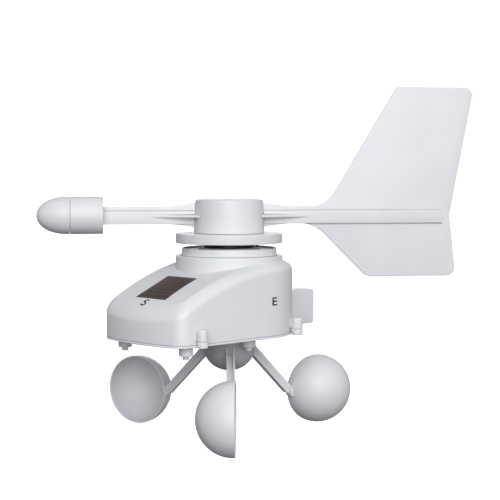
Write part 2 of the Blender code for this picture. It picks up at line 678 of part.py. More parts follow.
# ---------------------------------------------------------------- wind vane
def build_vane_centre():
    flange = [(SHAFT_HOLE, FLANGE_LOW), (SHAFT_HOLE, FLANGE_TOP), (FLANGE_RADIUS - 0.0008, FLANGE_TOP),
              (FLANGE_RADIUS, FLANGE_TOP - 0.0008), (FLANGE_RADIUS, FLANGE_LOW),
              (FLANGE_RADIUS - 0.0022, FLANGE_LOW), (FLANGE_RADIUS - 0.0022, FLANGE_TOP - 0.0024),
              (0.0100, FLANGE_TOP - 0.0024), (0.0100, FLANGE_LOW)]
    place(turned("vane_flange", flange, 40, closed=True), vane, VANE_GREY, 0.45)
    inner = HUB_RADIUS_LOW - 0.0024
    hub = [(0, 0.1185), (SHAFT_HOLE, 0.1185), (SHAFT_HOLE, HUB_LOW), (0.0070, HUB_LOW),
           (0.0070, HUB_TOP - 0.0024), (inner, HUB_TOP - 0.0024), (inner, HUB_LOW),
           (HUB_RADIUS_LOW, HUB_LOW), (HUB_RADIUS_TOP, HUB_TOP - 0.0008),
           (HUB_RADIUS_TOP - 0.0008, HUB_TOP), (0, HUB_TOP)]
    place(turned("vane_hub", list(reversed(hub)), 32), vane, VANE_GREY, 0.45)
    shaft = [(0, 0.1182), (SHAFT_RADIUS - 0.0004, 0.1182), (SHAFT_RADIUS, 0.1178),
             (SHAFT_RADIUS, 0.0462), (0, 0.0462)]
    place(turned("vane_shaft", shaft, 16), vane, STEEL, 0.25, 1.0)
    magnet = [(0, 0.0459), (0.0030, 0.0459), (0.0030, 0.0434), (0, 0.0434)]
    place(turned("vane_magnet", magnet, 16), vane, (0.30, 0.30, 0.32), 0.35, 1.0)


def flared_edges(side, steps=4):
    """Upper and lower edges of an arm's plate, which deepens towards the hub."""
    upper, lower = [], []
    for i in range(steps + 1):
        x = ARM_START + (ARM_FLARE - ARM_START) * i / steps
        deeper = ARM_ROOT_DEEPER * ((ARM_FLARE - x) / (ARM_FLARE - ARM_ROOT)) ** 1.6
        upper.append((side * x, ARM_TOP + deeper))
        lower.append((side * x, ARM_LOW - deeper))
    return upper, lower


def add_bar(arm, name, side, reach):
    """The raised bar of an arm, its pockets and grooves, the gusset and the hub clearance."""
    low, high = sorted((side * ARM_START, side * reach))
    face = PLATE_THICKNESS / 2 - GROOVE_DEPTH
    for end in (-1, 1):
        near, far = sorted((end * face, end * BAR_WIDTH))
        cut(arm, box(f"{name}_groove_{end}", (low, near, BAR_TOP), (high, far, BAR_TOP + GROOVE_HEIGHT)),
            vane)
    join(arm, box(name + "_bar", (low, -BAR_WIDTH / 2, ARM_LOW), (high, BAR_WIDTH / 2, BAR_TOP)), vane)
    for end in (-1, 1):
        outline = [(side * ARM_START, end * (BAR_WIDTH / 2 - POCKET_DEPTH)),
                   (side * POCKET_END, end * (BAR_WIDTH / 2 + 0.0001)),
                   (side * ARM_START, end * BAR_WIDTH)]
        pocket = plate(f"{name}_pocket_{end}", outline, BAR_TOP - ARM_LOW - 2 * RAIL,
                       offset=(BAR_TOP + ARM_LOW) / 2)
        cut(arm, pocket, vane)
    join(arm, arm_gusset(name + "_gusset", side), vane)
    cut(arm, hub_clearance(name + "_hub_clearance"), vane)


def arm_gusset(name, side, steps=4):
    """A level web through the arm that widens towards the hub in a hollow curve."""
    edge = []
    for i in range(steps + 1):
        t = i / steps
        x = ARM_START - 0.004 + (POCKET_END + 0.002 - ARM_START) * t
        edge.append((x, BAR_WIDTH / 2 - 0.0006 + GUSSET_HALF_WIDTH * (1 - t) ** 1.6))
    outline = [(side * x, y) for x, y in edge] + [(side * x, -y) for x, y in reversed(edge)]
    return plate(name, outline, GUSSET_THICKNESS, offset=GUSSET_Z)


def build_vane_arm():
    upper, lower = flared_edges(-1)
    end = NOSE_BACK + GAP
    outline = upper + [(end, ARM_TOP), (end, ARM_LOW + 0.0002)] + list(reversed(lower))
    arm = plate("vane_arm", outline, PLATE_THICKNESS, upright=True)
    add_bar(arm, "front", -1, -end)
    place(arm, vane, VANE_GREY, 0.45)


def hub_clearance(name):
    """The hub's tapered outside, grown by the gap."""
    low, top = HUB_LOW - 0.010, HUB_TOP + 0.010
    lean = (HUB_RADIUS_LOW - HUB_RADIUS_TOP) / (HUB_TOP - HUB_LOW) * 0.010
    return turned(name, [(0, top), (HUB_RADIUS_TOP + GAP - lean, top),
                         (HUB_RADIUS_LOW + GAP + lean, low), (0, low)], 32)


def build_tail_fin():
    upper, lower = flared_edges(1)
    corners = [(x, z, 0) for x, z in lower]
    corners += [(0.0800, ARM_LOW, 0.032), (0.1303, 0.0513, 0.009), (0.2184, 0.0509, 0.008),
                (0.2115, 0.1084, 0.004), (0.2344, 0.2298, 0.0072), (0.1592, 0.2298, 0.0045),
                (0.0919, ARM_TOP, 0.026)]
    corners += [(x, z, 0) for x, z in reversed(upper)]
    fin = plate("tail_fin", rounded(corners), PLATE_THICKNESS, upright=True)
    face = PLATE_THICKNESS / 2 - GROOVE_DEPTH
    for end in (-1, 1):
        near, far = sorted((end * face, end * BAR_WIDTH))
        cut(fin, box(f"fin_groove_{end}", (ARM_FLARE, near, ARM_LOW - GROOVE_HEIGHT),
                     (BAR_END, far, ARM_LOW)), vane)
    add_bar(fin, "rear", 1, BAR_END)
    place(fin, vane, VANE_GREY, 0.45)


def lay_along_x(item, x):
    """Turn a piece that was turned about Z so that its top points along -X."""
    item.location = (x, 0, NOSE_CENTRE_Z)
    item.rotation_euler = (0, -math.pi / 2, 0)


def build_nose():
    length = NOSE_BACK - NOSE_SEAM
    body = [(0, 0.0024), (NOSE_RADIUS - 0.0022, 0.0024), (NOSE_RADIUS - 0.0022, length),
            (NOSE_RADIUS, length), (NOSE_RADIUS, 0.0010), (NOSE_RADIUS - 0.0010, 0), (0, 0)]
    sleeve = turned("nose_sleeve", body, 28)
    lay_along_x(sleeve, NOSE_BACK)
    place(sleeve, vane, VANE_GREY, 0.4)

    depth = NOSE_SEAM - NOSE_TIP
    outside = [(NOSE_RADIUS * math.cos(a), depth * math.sin(a))
               for a in [math.pi / 2 * i / 6 for i in range(7)]]
    inside = [((NOSE_RADIUS - 0.0022) * math.cos(a), (depth - 0.0022) * math.sin(a))
              for a in [math.pi / 2 * i / 4 for i in range(5)]]
    outside[-1] = (0.0, depth)
    inside[-1] = (0.0, depth - 0.0022)
    outside[0] = (NOSE_RADIUS, GAP)
    inside[0] = (NOSE_RADIUS - 0.0022, GAP)
    cap = turned("nose_cap", list(reversed(outside)) + inside, 28)
    lay_along_x(cap, NOSE_SEAM)
    place(cap, vane, VANE_GREY, 0.4)

    weight = turned("nose_weight", [(0, 0.0290), (0.0130, 0.0290), (0.0140, 0.0280), (0.0140, 0.0027),
                                    (0, 0.0027)], 16)
    lay_along_x(weight, NOSE_BACK)
    place(weight, vane, (0.35, 0.36, 0.37), 0.4, 1.0)


# ---------------------------------------------------------------- wind cups
def dome_profile(radius, top, steps=6):
    """Outside of the dome from its open top edge down to its pole."""
    curve = [(radius * math.cos(a), DOME_CENTRE_Z - radius * math.sin(a))
             for a in [math.pi / 2 * i / steps for i in range(steps)]]
    return [(radius, top)] + curve


def build_rotor_centre():
    pole = DOME_CENTRE_Z - DOME_RADIUS
    inside = list(reversed(dome_profile(DOME_RADIUS - 0.0022, DOME_TOP, 4)))
    inside = [point for point in inside if point[0] > 0.0080]
    profile = dome_profile(DOME_RADIUS, DOME_TOP)
    profile += [(0.0034, pole + 0.0003), (0.0034, pole + 0.0024), (0.0018, pole + 0.0024),
                (0.0018, -0.0270), (SHAFT_HOLE, -0.0270), (SHAFT_HOLE, -0.0040),
                (0.0065, -0.0040), (0.0065, -0.0310)]
    place(turned("rotor_dome", profile + inside, 28, closed=True), rotor, (0.40, 0.41, 0.45), 0.45)
    shaft = [(0, 0.0364), (SHAFT_RADIUS, 0.0364), (SHAFT_RADIUS, -0.0267), (0.0018, -0.0267),
             (0.0018, -0.0190), (0, -0.0190)]
    place(turned("rotor_shaft", shaft, 16), rotor, STEEL, 0.25, 1.0)
    screw = turned("rotor_screw", screw_profile(pole + 0.0004, 0.0130, 0.0015, 0.0031, 0.0016), 12)
    place(screw, rotor, STEEL, 0.3, 1.0)
    magnet = [(0, 0.0392), (0.0030, 0.0392), (0.0030, 0.0367), (0, 0.0367)]
    place(turned("rotor_magnet", magnet, 16), rotor, (0.30, 0.30, 0.32), 0.35, 1.0)


def spoke_outline(low, high, tip_height):
    """Side view of a spoke: down and out from the dome, then level to the cup."""
    start, end = Vector((0.0195, -0.0115)), Vector((0.0665, -0.0600))
    along = (end - start).normalized()
    across = Vector((-along.y, along.x))
    under, over = end + across * low, end + across * high
    tip = CUP_DISTANCE - CUP_RADIUS + 0.006
    tip_top = under.y + tip_height
    shoulder = over.x + (over.y - tip_top) * along.x / -along.y
    return [tuple(start + across * high), tuple(start + across * low), tuple(under), (tip, under.y),
            (tip, tip_top), (shoulder, tip_top)]


def build_cups():
    half = SPOKE_SIZE / 2
    for number in range(3):
        heading = math.radians(120 * number)
        arm = plate(f"cup_arm_{number + 1}", spoke_outline(-half, half, SPOKE_TIP), SPOKE_SIZE,
                    upright=True)
        arm.rotation_euler = (0, 0, heading)
        channel = plate(f"spoke_channel_{number + 1}",
                        spoke_outline(-half + SPOKE_WALL, half + 0.004, SPOKE_TIP),
                        SPOKE_SIZE - 2 * SPOKE_WALL, upright=True)
        channel.rotation_euler = (0, 0, heading)
        cut(arm, channel, rotor)
        cut(arm, sphere(f"dome_clearance_{number + 1}", DOME_RADIUS + GAP, (0, 0, DOME_CENTRE_Z)), rotor)
        centre = Vector((CUP_DISTANCE * math.cos(heading), CUP_DISTANCE * math.sin(heading), CUP_HEIGHT))
        cut(arm, sphere(f"cup_clearance_{number + 1}", CUP_RADIUS + GAP, centre), rotor)
        place(arm, rotor, VANE_GREY, 0.45, smooth=False)

        outside = [(CUP_RADIUS * math.cos(a), -CUP_RADIUS * math.sin(a))
                   for a in [math.pi / 2 * i / 6 for i in range(7)]]
        bowl = CUP_RADIUS - CUP_WALL
        inside = [(bowl * math.cos(a), -bowl * math.sin(a))
                  for a in [math.pi / 2 * i / 6 for i in range(6, -1, -1)]]
        outside[-1] = (0.0, -CUP_RADIUS)
        inside[0] = (0.0, -bowl)
        profile = inside + [(bowl, CUP_LIP), (CUP_RADIUS, CUP_LIP)] + outside
        cup = turned(f"wind_cup_{number + 1}", profile, 24)
        cup.location = centre
        cup.rotation_euler = (-math.pi / 2, 0, heading - CUP_TURN_OUT)
        place(cup, rotor, VANE_GREY, 0.45)


# ---------------------------------------------------------------- assembly
clear_scene()
parts = new_collection(PARTS)
cutters = new_collection("cutters")
frame = new_empty("sensor_frame", parts, (0, -AXIS_TO_MOUNT, -MOUNT_HEIGHT))
vane = new_empty("vane_axis", parts, turn=VANE_HEADING, parent=frame)
rotor = new_empty("rotor_axis", parts, turn=ROTOR_HEADING, parent=frame)

build_housing_shell()
build_base_cover()
build_gasket()
build_solar_panel()
build_feet()
build_case_screws()
build_mount_block()
build_mount_screws()
build_bearings()
build_collar()
build_circuit_board()
build_antenna()
build_battery_bay()
build_vane_centre()
build_vane_arm()
build_tail_fin()
build_nose()
build_rotor_centre()
build_cups()
bpy.context.view_layer.update()
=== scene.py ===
"""Finished look of the wind sensor: every visible moulding, its materials, light and camera.

Pieces are modelled in the sensor frame, whose origin is on the turning axis at the height of
the housing's underside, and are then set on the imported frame. All lengths are in metres.
"""

import json
import math

import bmesh
import bpy
from mathutils import Euler, Matrix, Vector


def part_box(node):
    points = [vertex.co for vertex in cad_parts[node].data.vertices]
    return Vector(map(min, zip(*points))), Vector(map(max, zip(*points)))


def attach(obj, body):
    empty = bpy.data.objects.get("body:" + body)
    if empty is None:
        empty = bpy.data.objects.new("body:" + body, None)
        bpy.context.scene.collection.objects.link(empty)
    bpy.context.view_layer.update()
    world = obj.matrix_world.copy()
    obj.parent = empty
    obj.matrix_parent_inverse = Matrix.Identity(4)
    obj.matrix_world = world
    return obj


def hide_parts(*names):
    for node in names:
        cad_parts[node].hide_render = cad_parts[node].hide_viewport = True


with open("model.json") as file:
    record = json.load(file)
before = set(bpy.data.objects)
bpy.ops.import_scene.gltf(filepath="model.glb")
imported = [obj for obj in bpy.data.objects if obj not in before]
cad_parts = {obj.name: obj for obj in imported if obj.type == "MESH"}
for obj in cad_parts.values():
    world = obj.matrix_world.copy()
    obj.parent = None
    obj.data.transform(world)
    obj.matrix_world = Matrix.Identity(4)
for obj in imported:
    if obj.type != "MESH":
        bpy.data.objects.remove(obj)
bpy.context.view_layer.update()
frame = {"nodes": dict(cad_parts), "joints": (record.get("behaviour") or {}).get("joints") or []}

# ---------------------------------------------------------------- places from the frame
AXIS = Vector(next(j for j in frame["joints"] if j["name"] == "vane_turn")["pos_m"])
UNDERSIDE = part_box("base_cover")[0].z
ORIGIN = Vector((AXIS.x, AXIS.y, UNDERSIDE))
MM = 0.001
GAP = 0.3 * MM


def local(node):
    """A node's lowest and highest corners, seen from the sensor frame."""
    low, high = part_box(node)
    return low - ORIGIN, high - ORIGIN


def heading(node):
    """Compass angle of a node's middle around the turning axis."""
    low, high = local(node)
    middle = (low + high) / 2
    return math.atan2(middle.y, middle.x)


VANE_TURN = heading("nose_weight") + math.pi
ROTOR_TURN = heading("cup_arm_1")


# ---------------------------------------------------------------- mesh tools
def new_object(name, bm, smooth_angle=32):
    bmesh.ops.remove_doubles(bm, verts=bm.verts, dist=1e-7)
    bmesh.ops.recalc_face_normals(bm, faces=bm.faces)
    mesh = bpy.data.meshes.new(name)
    bm.to_mesh(mesh)
    bm.free()
    item = bpy.data.objects.new(name, mesh)
    bpy.context.scene.collection.objects.link(item)
    shade(item, smooth_angle)
    return item


def shade(item, angle=32):
    item.data.shade_smooth()
    item.data.set_sharp_from_angle(angle=math.radians(angle))


def apply_modifiers(item):
    graph = bpy.context.evaluated_depsgraph_get()
    graph.update()
    mesh = bpy.data.meshes.new_from_object(item.evaluated_get(graph))
    item.modifiers.clear()
    old = item.data
    item.data = mesh
    mesh.name = item.name
    bpy.data.meshes.remove(old)
    return item


def combine(item, tools, operation="UNION", angle=32):
    """Join or cut with tool objects, which are used up."""
    for tool in tools:
        modifier = item.modifiers.new("combine", "BOOLEAN")
        modifier.object = tool
        modifier.operation = operation
        modifier.solver = "EXACT"
        apply_modifiers(item)
        bpy.data.objects.remove(tool)
    shade(item, angle)
    return item


def soften(item, width, segments=3, angle=35):
    """Round off the sharp edges."""
    bevel = item.modifiers.new("soften", "BEVEL")
    bevel.width = width
    bevel.segments = segments
    bevel.limit_method = "ANGLE"
    bevel.angle_limit = math.radians(angle)
    bevel.harden_normals = False
    apply_modifiers(item)
    shade(item, 40)
    return item


def arc(cx, cy, radius, start, end, steps):
    angles = [start + (end - start) * i / steps for i in range(steps + 1)]
    return [(cx + radius * math.cos(a), cy + radius * math.sin(a)) for a in angles]


def rounded(corners, steps=6, closed=True):
    """An outline from (x, y, radius) corners, each rounded to its own radius."""
    points = []
    count = len(corners)
    for i, (x, y, radius) in enumerate(corners):
        if radius == 0 or (not closed and i in (0, count - 1)):
            points.append((x, y))
            continue
        here = Vector((x, y))
        back = (Vector(corners[i - 1][:2]) - here).normalized()
        ahead = (Vector(corners[(i + 1) % count][:2]) - here).normalized()
        half = back.angle(ahead) / 2
        centre = here + (back + ahead).normalized() * radius / math.sin(half)
        first = here + back * radius / math.tan(half) - centre
        last = here + ahead * radius / math.tan(half) - centre
        sweep = -first.angle_signed(last)
        for step in range(steps + 1):
            turn = sweep * step / steps
            points.append((centre.x + first.x * math.cos(turn) - first.y * math.sin(turn),
                           centre.y + first.x * math.sin(turn) + first.y * math.cos(turn)))
    return points


def lathe(name, profile, segments=96, closed=False, smooth_angle=32):
    """Turn (radius, height) points about Z. An open profile starts and ends on the axis."""
    bm = bmesh.new()
    rows = []
    for radius, z in profile:
        if radius < 1e-7:
            rows.append([bm.verts.new((0, 0, z))])
        else:
            rows.append([bm.verts.new((radius * math.cos(2 * math.pi * k / segments),
                                       radius * math.sin(2 * math.pi * k / segments), z))
                         for k in range(segments)])
    pairs = list(zip(rows, rows[1:]))
    if closed:
        pairs.append((rows[-1], rows[0]))
    for first, second in pairs:
        for k in range(segments):
            n = (k + 1) % segments
            corners = [first[k % len(first)], first[n % len(first)],
                       second[n % len(second)], second[k % len(second)]]
            corners = list(dict.fromkeys(corners))
            if len(corners) > 2:
                bm.faces.new(corners)
    return new_object(name, bm, smooth_angle)


def slab(name, outline, thickness, edge=0.0, upright=False, offset=0.0, segments=3):
    """A plate of the outline with softened edges: flat in XY, or standing in XZ."""
    bm = bmesh.new()
    lower = [bm.verts.new((x, y, -thickness / 2)) for x, y in outline]
    upper = [bm.verts.new((x, y, thickness / 2)) for x, y in outline]
    bm.faces.new(list(reversed(lower)))
    bm.faces.new(upper)
    for i in range(len(outline)):
        j = (i + 1) % len(outline)
        bm.faces.new((lower[i], lower[j], upper[j], upper[i]))
    bmesh.ops.translate(bm, verts=bm.verts, vec=(0, 0, offset))
    if upright:
        for vert in bm.verts:
            vert.co = (vert.co.x, -vert.co.z, vert.co.y)
    item = new_object(name, bm, 32)
    if edge:
        soften(item, edge, segments, 50)
    return item


def block(name, low, high, edge=0.0, segments=3):
    """A box between two corners with softened edges."""
    low, high = Vector(low), Vector(high)
    bm = bmesh.new()
    bmesh.ops.create_cube(bm, size=1.0)
    bmesh.ops.scale(bm, verts=bm.verts, vec=high - low)
    bmesh.ops.translate(bm, verts=bm.verts, vec=(low + high) / 2)
    item = new_object(name, bm)
    if edge:
        soften(item, edge, segments, 50)
    return item


def move(item, location=(0, 0, 0), rotation=(0, 0, 0)):
    """Move a piece's mesh itself, so that pieces can be joined in one frame."""
    item.data.transform(Matrix.Translation(location) @ Euler(rotation).to_matrix().to_4x4())
    return item


def pin(radius, top, bottom, segments, location=(0, 0, 0), rotation=(0, 0, 0)):
    """A plain round tool that cuts a hole or a clearance."""
    profile = [(0, top), (radius, top), (radius, bottom), (0, bottom)]
    return move(lathe("pin", profile, segments), location, rotation)


# ---------------------------------------------------------------- materials
def start_material(name):
    material = bpy.data.materials.new(name)
    material.use_nodes = True
    tree = material.node_tree
    return material, tree.nodes, tree.links, tree.nodes["Principled BSDF"]


def add_node(nodes, kind, values):
    node = nodes.new("ShaderNode" + kind)
    for socket, value in values.items():
        node.inputs[socket].default_value = value
    return node


def add_noise(nodes, links, place, values):
    noise = add_node(nodes, "TexNoise", values)
    links.new(place, noise.inputs["Vector"])
    return noise.outputs["Fac"]


def add_ramp(nodes, links, factor, first, last):
    """A ramp between two (position, colour) stops."""
    ramp = nodes.new("ShaderNodeValToRGB")
    for element, (position, colour) in zip(ramp.color_ramp.elements, (first, last)):
        element.position, element.color = position, (*colour, 1)
    links.new(factor, ramp.inputs["Fac"])
    return ramp.outputs["Color"]


def add_mix(nodes, links, factor, first, second):
    """One colour socket over to a plain colour, by a factor."""
    mix = nodes.new("ShaderNodeMix")
    mix.data_type = "RGBA"
    mix.inputs["B"].default_value = (*second, 1)
    links.new(factor, mix.inputs["Factor"])
    links.new(first, mix.inputs["A"])
    return mix.outputs["Result"]


def add_bump(nodes, links, height, strength, distance):
    bump = add_node(nodes, "Bump", {"Strength": strength, "Distance": distance})
    links.new(height, bump.inputs["Height"])
    return bump


def plastic(name, colour, roughness=0.42, dirt=(0.55, 0.53, 0.50), grain=0.00022, depth=0.06):
    """Moulded plastic: fine spark-eroded grain, faint flow marks and a little outdoor dust."""
    dust = 0.10
    material, nodes, links, shader = start_material(name)
    shader.inputs["IOR"].default_value = 1.52
    shader.inputs["Specular IOR Level"].default_value = 0.45
    place = nodes.new("ShaderNodeTexCoord").outputs["Object"]

    flow = add_noise(nodes, links, place, {"Scale": 22.0, "Detail": 4.0, "Roughness": 0.55})
    tone = add_ramp(nodes, links, flow, (0.30, [c * 0.965 for c in colour]),
                    (0.72, [min(1.0, c * 1.02) for c in colour]))
    speck = add_noise(nodes, links, place, {"Scale": 210.0, "Detail": 6.0, "Roughness": 0.7})
    dusty = add_ramp(nodes, links, speck, (0.60, (0, 0, 0)), (0.86, (dust, dust, dust)))
    soiled = add_mix(nodes, links, dusty, tone, [c * d for c, d in zip(colour, dirt)])
    links.new(soiled, shader.inputs["Base Color"])

    rough = add_node(nodes, "MapRange", {"From Min": 0.3, "From Max": 0.7,
                                         "To Min": roughness - 0.05, "To Max": roughness + 0.06})
    links.new(speck, rough.inputs["Value"])
    links.new(rough.outputs["Result"], shader.inputs["Roughness"])

    texture = add_noise(nodes, links, place, {"Scale": 0.25 / grain, "Detail": 3.0})
    bump = add_bump(nodes, links, texture, depth, grain)
    waviness = add_bump(nodes, links, flow, 0.04, 0.002)
    links.new(bump.outputs["Normal"], waviness.inputs["Normal"])
    links.new(waviness.outputs["Normal"], shader.inputs["Normal"])
    return material


def metal(name, colour, roughness, scratch=900.0, stretch=(1, 1, 12)):
    """Turned or drawn metal with fine directional scratches."""
    material, nodes, links, shader = start_material(name)
    shader.inputs["Metallic"].default_value = 1.0
    mapping = add_node(nodes, "Mapping", {"Scale": stretch})
    links.new(nodes.new("ShaderNodeTexCoord").outputs["Object"], mapping.inputs["Vector"])
    grain = add_noise(nodes, links, mapping.outputs["Vector"], {"Scale": scratch, "Detail": 4.0})
    tone = add_ramp(nodes, links, grain, (0, [c * 0.82 for c in colour]), (1, colour))
    links.new(tone, shader.inputs["Base Color"])
    rough = add_node(nodes, "MapRange", {"To Min": roughness * 0.7, "To Max": roughness * 1.4})
    links.new(grain, rough.inputs["Value"])
    links.new(rough.outputs["Result"], shader.inputs["Roughness"])
    bump = add_bump(nodes, links, grain, 0.12, 0.0001)
    links.new(bump.outputs["Normal"], shader.inputs["Normal"])
    return material


def banded(name, ground_colour, line_colour, scale, axis, share, roughness, coat=0.0, depth=0.0):
    """Fine parallel lines over a mottled ground."""
    material, nodes, links, shader = start_material(name)
    shader.inputs["Roughness"].default_value = roughness
    shader.inputs["Coat Weight"].default_value = coat
    shader.inputs["Coat Roughness"].default_value = 0.12
    shader.inputs["Specular IOR Level"].default_value = 0.3
    place = nodes.new("ShaderNodeTexCoord").outputs["Object"]
    wave = add_node(nodes, "TexWave", {"Scale": scale, "Distortion": 0.0})
    wave.wave_type = "BANDS"
    wave.bands_direction = axis
    links.new(place, wave.inputs["Vector"])
    line = add_ramp(nodes, links, wave.outputs["Fac"], (1 - share, (0, 0, 0)),
                    (min(1.0, 1 - share + 0.04), (1, 1, 1)))
    cloud = add_noise(nodes, links, place, {"Scale": 90.0, "Detail": 5.0})
    ground = add_ramp(nodes, links, cloud, (0, [c * 0.75 for c in ground_colour]),
                      (1, [c * 1.25 for c in ground_colour]))
    links.new(add_mix(nodes, links, line, ground, line_colour), shader.inputs["Base Color"])
    if depth:
        bump = add_bump(nodes, links, cloud, depth, 0.0001)
        links.new(bump.outputs["Normal"], shader.inputs["Normal"])
    return material


CASE = plastic("case_grey", (0.70, 0.71, 0.745), 0.42)
VANE = plastic("vane_grey", (0.675, 0.685, 0.717), 0.42, grain=0.00028)
CUPS = plastic("cup_grey", (0.68, 0.69, 0.72), 0.46, grain=0.00028)
DOME = plastic("dome_grey", (0.47, 0.455, 0.49), 0.38)
BLACK = plastic("bearing_black", (0.018, 0.017, 0.019), 0.38, dirt=(3.0, 3.0, 3.0))
MARK = plastic("mark_ink", (0.030, 0.030, 0.034), 0.55, dirt=(1.6, 1.6, 1.6))
TRAY = plastic("tray_black", (0.030, 0.030, 0.033), 0.5, dirt=(2.0, 2.0, 2.0))
SEAL = plastic("seal_rubber", (0.025, 0.025, 0.027), 0.75, dirt=(2.5, 2.5, 2.5), depth=0.2)
CHIP = plastic("chip_black", (0.020, 0.020, 0.022), 0.45, dirt=(2.0, 2.0, 2.0))
STEEL = metal("stainless", (0.62, 0.62, 0.61), 0.26)
MAGNET = metal("magnet_nickel", (0.58, 0.57, 0.54), 0.2)
WEIGHT = metal("zinc_slug", (0.40, 0.41, 0.43), 0.42, 300.0, (1, 1, 1))
COPPER = metal("antenna_copper", (0.72, 0.40, 0.22), 0.28)
CONTACT = metal("spring_nickel", (0.74, 0.71, 0.64), 0.22)
CELL = banded("solar_brown", (0.036, 0.020, 0.016), (0.110, 0.075, 0.062), 55.0, "Y", 0.06, 0.40,
              coat=0.06)
BOARD = banded("board_green", (0.012, 0.085, 0.032), (0.022, 0.135, 0.055), 160.0, "X", 0.35, 0.35,
               coat=0.4, depth=0.15)
JACKET = banded("cell_jacket", (0.045, 0.095, 0.055), (0.35, 0.33, 0.28), 9.0, "Z", 0.20, 0.3,
                coat=0.3)


def finish_piece(item, material, body, nodes, turn=0.0):
    """Set a piece on the frame, give it its look, and hide the frame nodes that it stands in for."""
    item.data.materials.clear()
    item.data.materials.append(material)
    move(item, rotation=(0, 0, turn))
    item.location = ORIGIN
    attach(item, body)
    if nodes:
        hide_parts(*nodes)
    return item


# ---------------------------------------------------------------- housing outline
NORTH_RADIUS = 58.7 * MM
SOUTH_END = -local("housing_shell")[0].y
SOUTH_BOW_RADIUS = 170 * MM
CORNER_RADIUS = 13 * MM
SIDE_TAPER = math.radians(3.1)
ROOF_HEIGHT = 68.8 * MM
ROOF_CREST_Y = 18.6 * MM
ROOF_FALL = 2.26
ROOF_EDGE = 9.6 * MM
CREASE_ANGLE = math.radians(52)
WALL = 2.5 * MM
BASE_TOP = 2.0 * MM
SHELL_BOTTOM = BASE_TOP + GAP
TURRET_RADIUS = 49.6 * MM
TURRET_TOP = local("housing_shell")[1].z


def roof_height(y, drop=0.0):
    south = min(0.0, y - ROOF_CREST_Y)
    return ROOF_HEIGHT - drop - ROOF_FALL * south * south


def roof_slope(y):
    return math.atan(-2 * ROOF_FALL * min(0.0, y - ROOF_CREST_Y))


def east_outline(inset):
    """East half of the plan outline, three arcs and a straight side, from south to north."""
    bow_y = SOUTH_BOW_RADIUS - SOUTH_END
    cos_t, sin_t = math.cos(SIDE_TAPER), math.sin(SIDE_TAPER)
    reach = SOUTH_BOW_RADIUS - CORNER_RADIUS
    offset = NORTH_RADIUS - CORNER_RADIUS + sin_t * bow_y
    along = -math.sqrt(reach ** 2 - offset ** 2)
    corner_x = cos_t * offset + sin_t * along
    corner_y = bow_y - sin_t * offset + cos_t * along
    start = math.atan2(corner_y - bow_y, corner_x)
    south = arc(0, bow_y, SOUTH_BOW_RADIUS - inset, -math.pi / 2, start, 8)
    corner = arc(corner_x, corner_y, CORNER_RADIUS - inset, start, -SIDE_TAPER, 10)[1:]
    north = arc(0, 0, NORTH_RADIUS - inset, -SIDE_TAPER, math.pi / 2, 24)
    (x0, y0), (x1, y1) = corner[-1], north[0]
    count = 14
    side = [(x0 + (x1 - x0) * i / count, y0 + (y1 - y0) * i / count) for i in range(1, count)]
    points = south + corner + side + north
    points[0] = (0.0, points[0][1])
    points[-1] = (0.0, points[-1][1])
    return points


def full_outline(inset):
    east = east_outline(inset)
    return east + [(-x, y) for x, y in reversed(east[1:-1])]


def close_across(bm, loop):
    """Close a ring of the outline with strips that run straight from east to west."""
    count = len(loop)
    for i in range(count // 2):
        corners = [loop[i], loop[i + 1], loop[(count - i - 1) % count], loop[(count - i) % count]]
        bm.faces.new(list(dict.fromkeys(corners)))


def housing_solid(name, inset, floor, drop, fillet_steps, foot=0.0):
    """Rings of the outline from the floor up, rounded over to a crease at the roof's edge."""
    fillet, last = ROOF_EDGE - inset, CREASE_ANGLE
    bm = bmesh.new()
    loops = []
    if foot:
        loops.append([bm.verts.new((x, y, floor)) for x, y in full_outline(inset + foot)])
        loops.append([bm.verts.new((x, y, floor + foot)) for x, y in full_outline(inset)])
    else:
        loops.append([bm.verts.new((x, y, floor)) for x, y in full_outline(inset)])
    for step in range(fillet_steps + 1):
        angle = last * step / fillet_steps
        outline = full_outline(inset + fillet * (1 - math.cos(angle)) / (1 - math.cos(last)))
        sink = fillet * (1 - math.sin(angle) / math.sin(last))
        loops.append([bm.verts.new((x, y, roof_height(y, drop) - sink)) for x, y in outline])
    for lower, upper in zip(loops, loops[1:]):
        for i in range(len(lower)):
            j = (i + 1) % len(lower)
            bm.faces.new((lower[i], lower[j], upper[j], upper[i]))
    close_across(bm, loops[0])
    close_across(bm, loops[-1])
    return new_object(name, bm)


def middle(node):
    low, high = local(node)
    return (low + high) / 2


SIDES = ("south_west", "south_east", "north_west", "north_east")
EARS = {side: middle("case_screw_" + side) for side in SIDES}
FEET = {side: middle("foot_" + side) for side in SIDES}
EAR_RADIUS = 4.7 * MM
EAR_SPLIT = 5.6 * MM
EAR_TOP = 15.8 * MM
PANEL_SINK = 1.0 * MM
PANEL_LENGTH, PANEL_WIDTH, PANEL_THICKNESS = 41.5 * MM, 40.0 * MM, 2.0 * MM
PANEL_Y = -77.2 * MM
TUBE_RADIUS = 11 * MM
PILOT_SPACING, PILOT_RADIUS = 11.5 * MM, 1.6 * MM
SCREW_RADIUS, SCREW_HEAD_RADIUS = 1.8 * MM, 3.4 * MM
EAR_REACH_SOUTH, EAR_REACH_NORTH = 8.5 * MM, 10.5 * MM
COLLAR_RADIUS, COLLAR_RIM, COLLAR_SEAT = 43.9 * MM, 1.6 * MM, 28.2 * MM
COLLAR_UNDER, COLLAR_DISH = 77.2 * MM, 78.2 * MM
RING_RADIUS, RING_LOW, RING_BORE = 23.4 * MM, 80.0 * MM, 8.3 * MM
TUBE_LOW, TUBE_BORE = 46.0 * MM, 4.0 * MM
HOOK_INNER, HOOK_OUTER, HOOK_TOP = 25.0 * MM, 27.3 * MM, 83.5 * MM
HOOK_HEADINGS = (45, 165, 285)


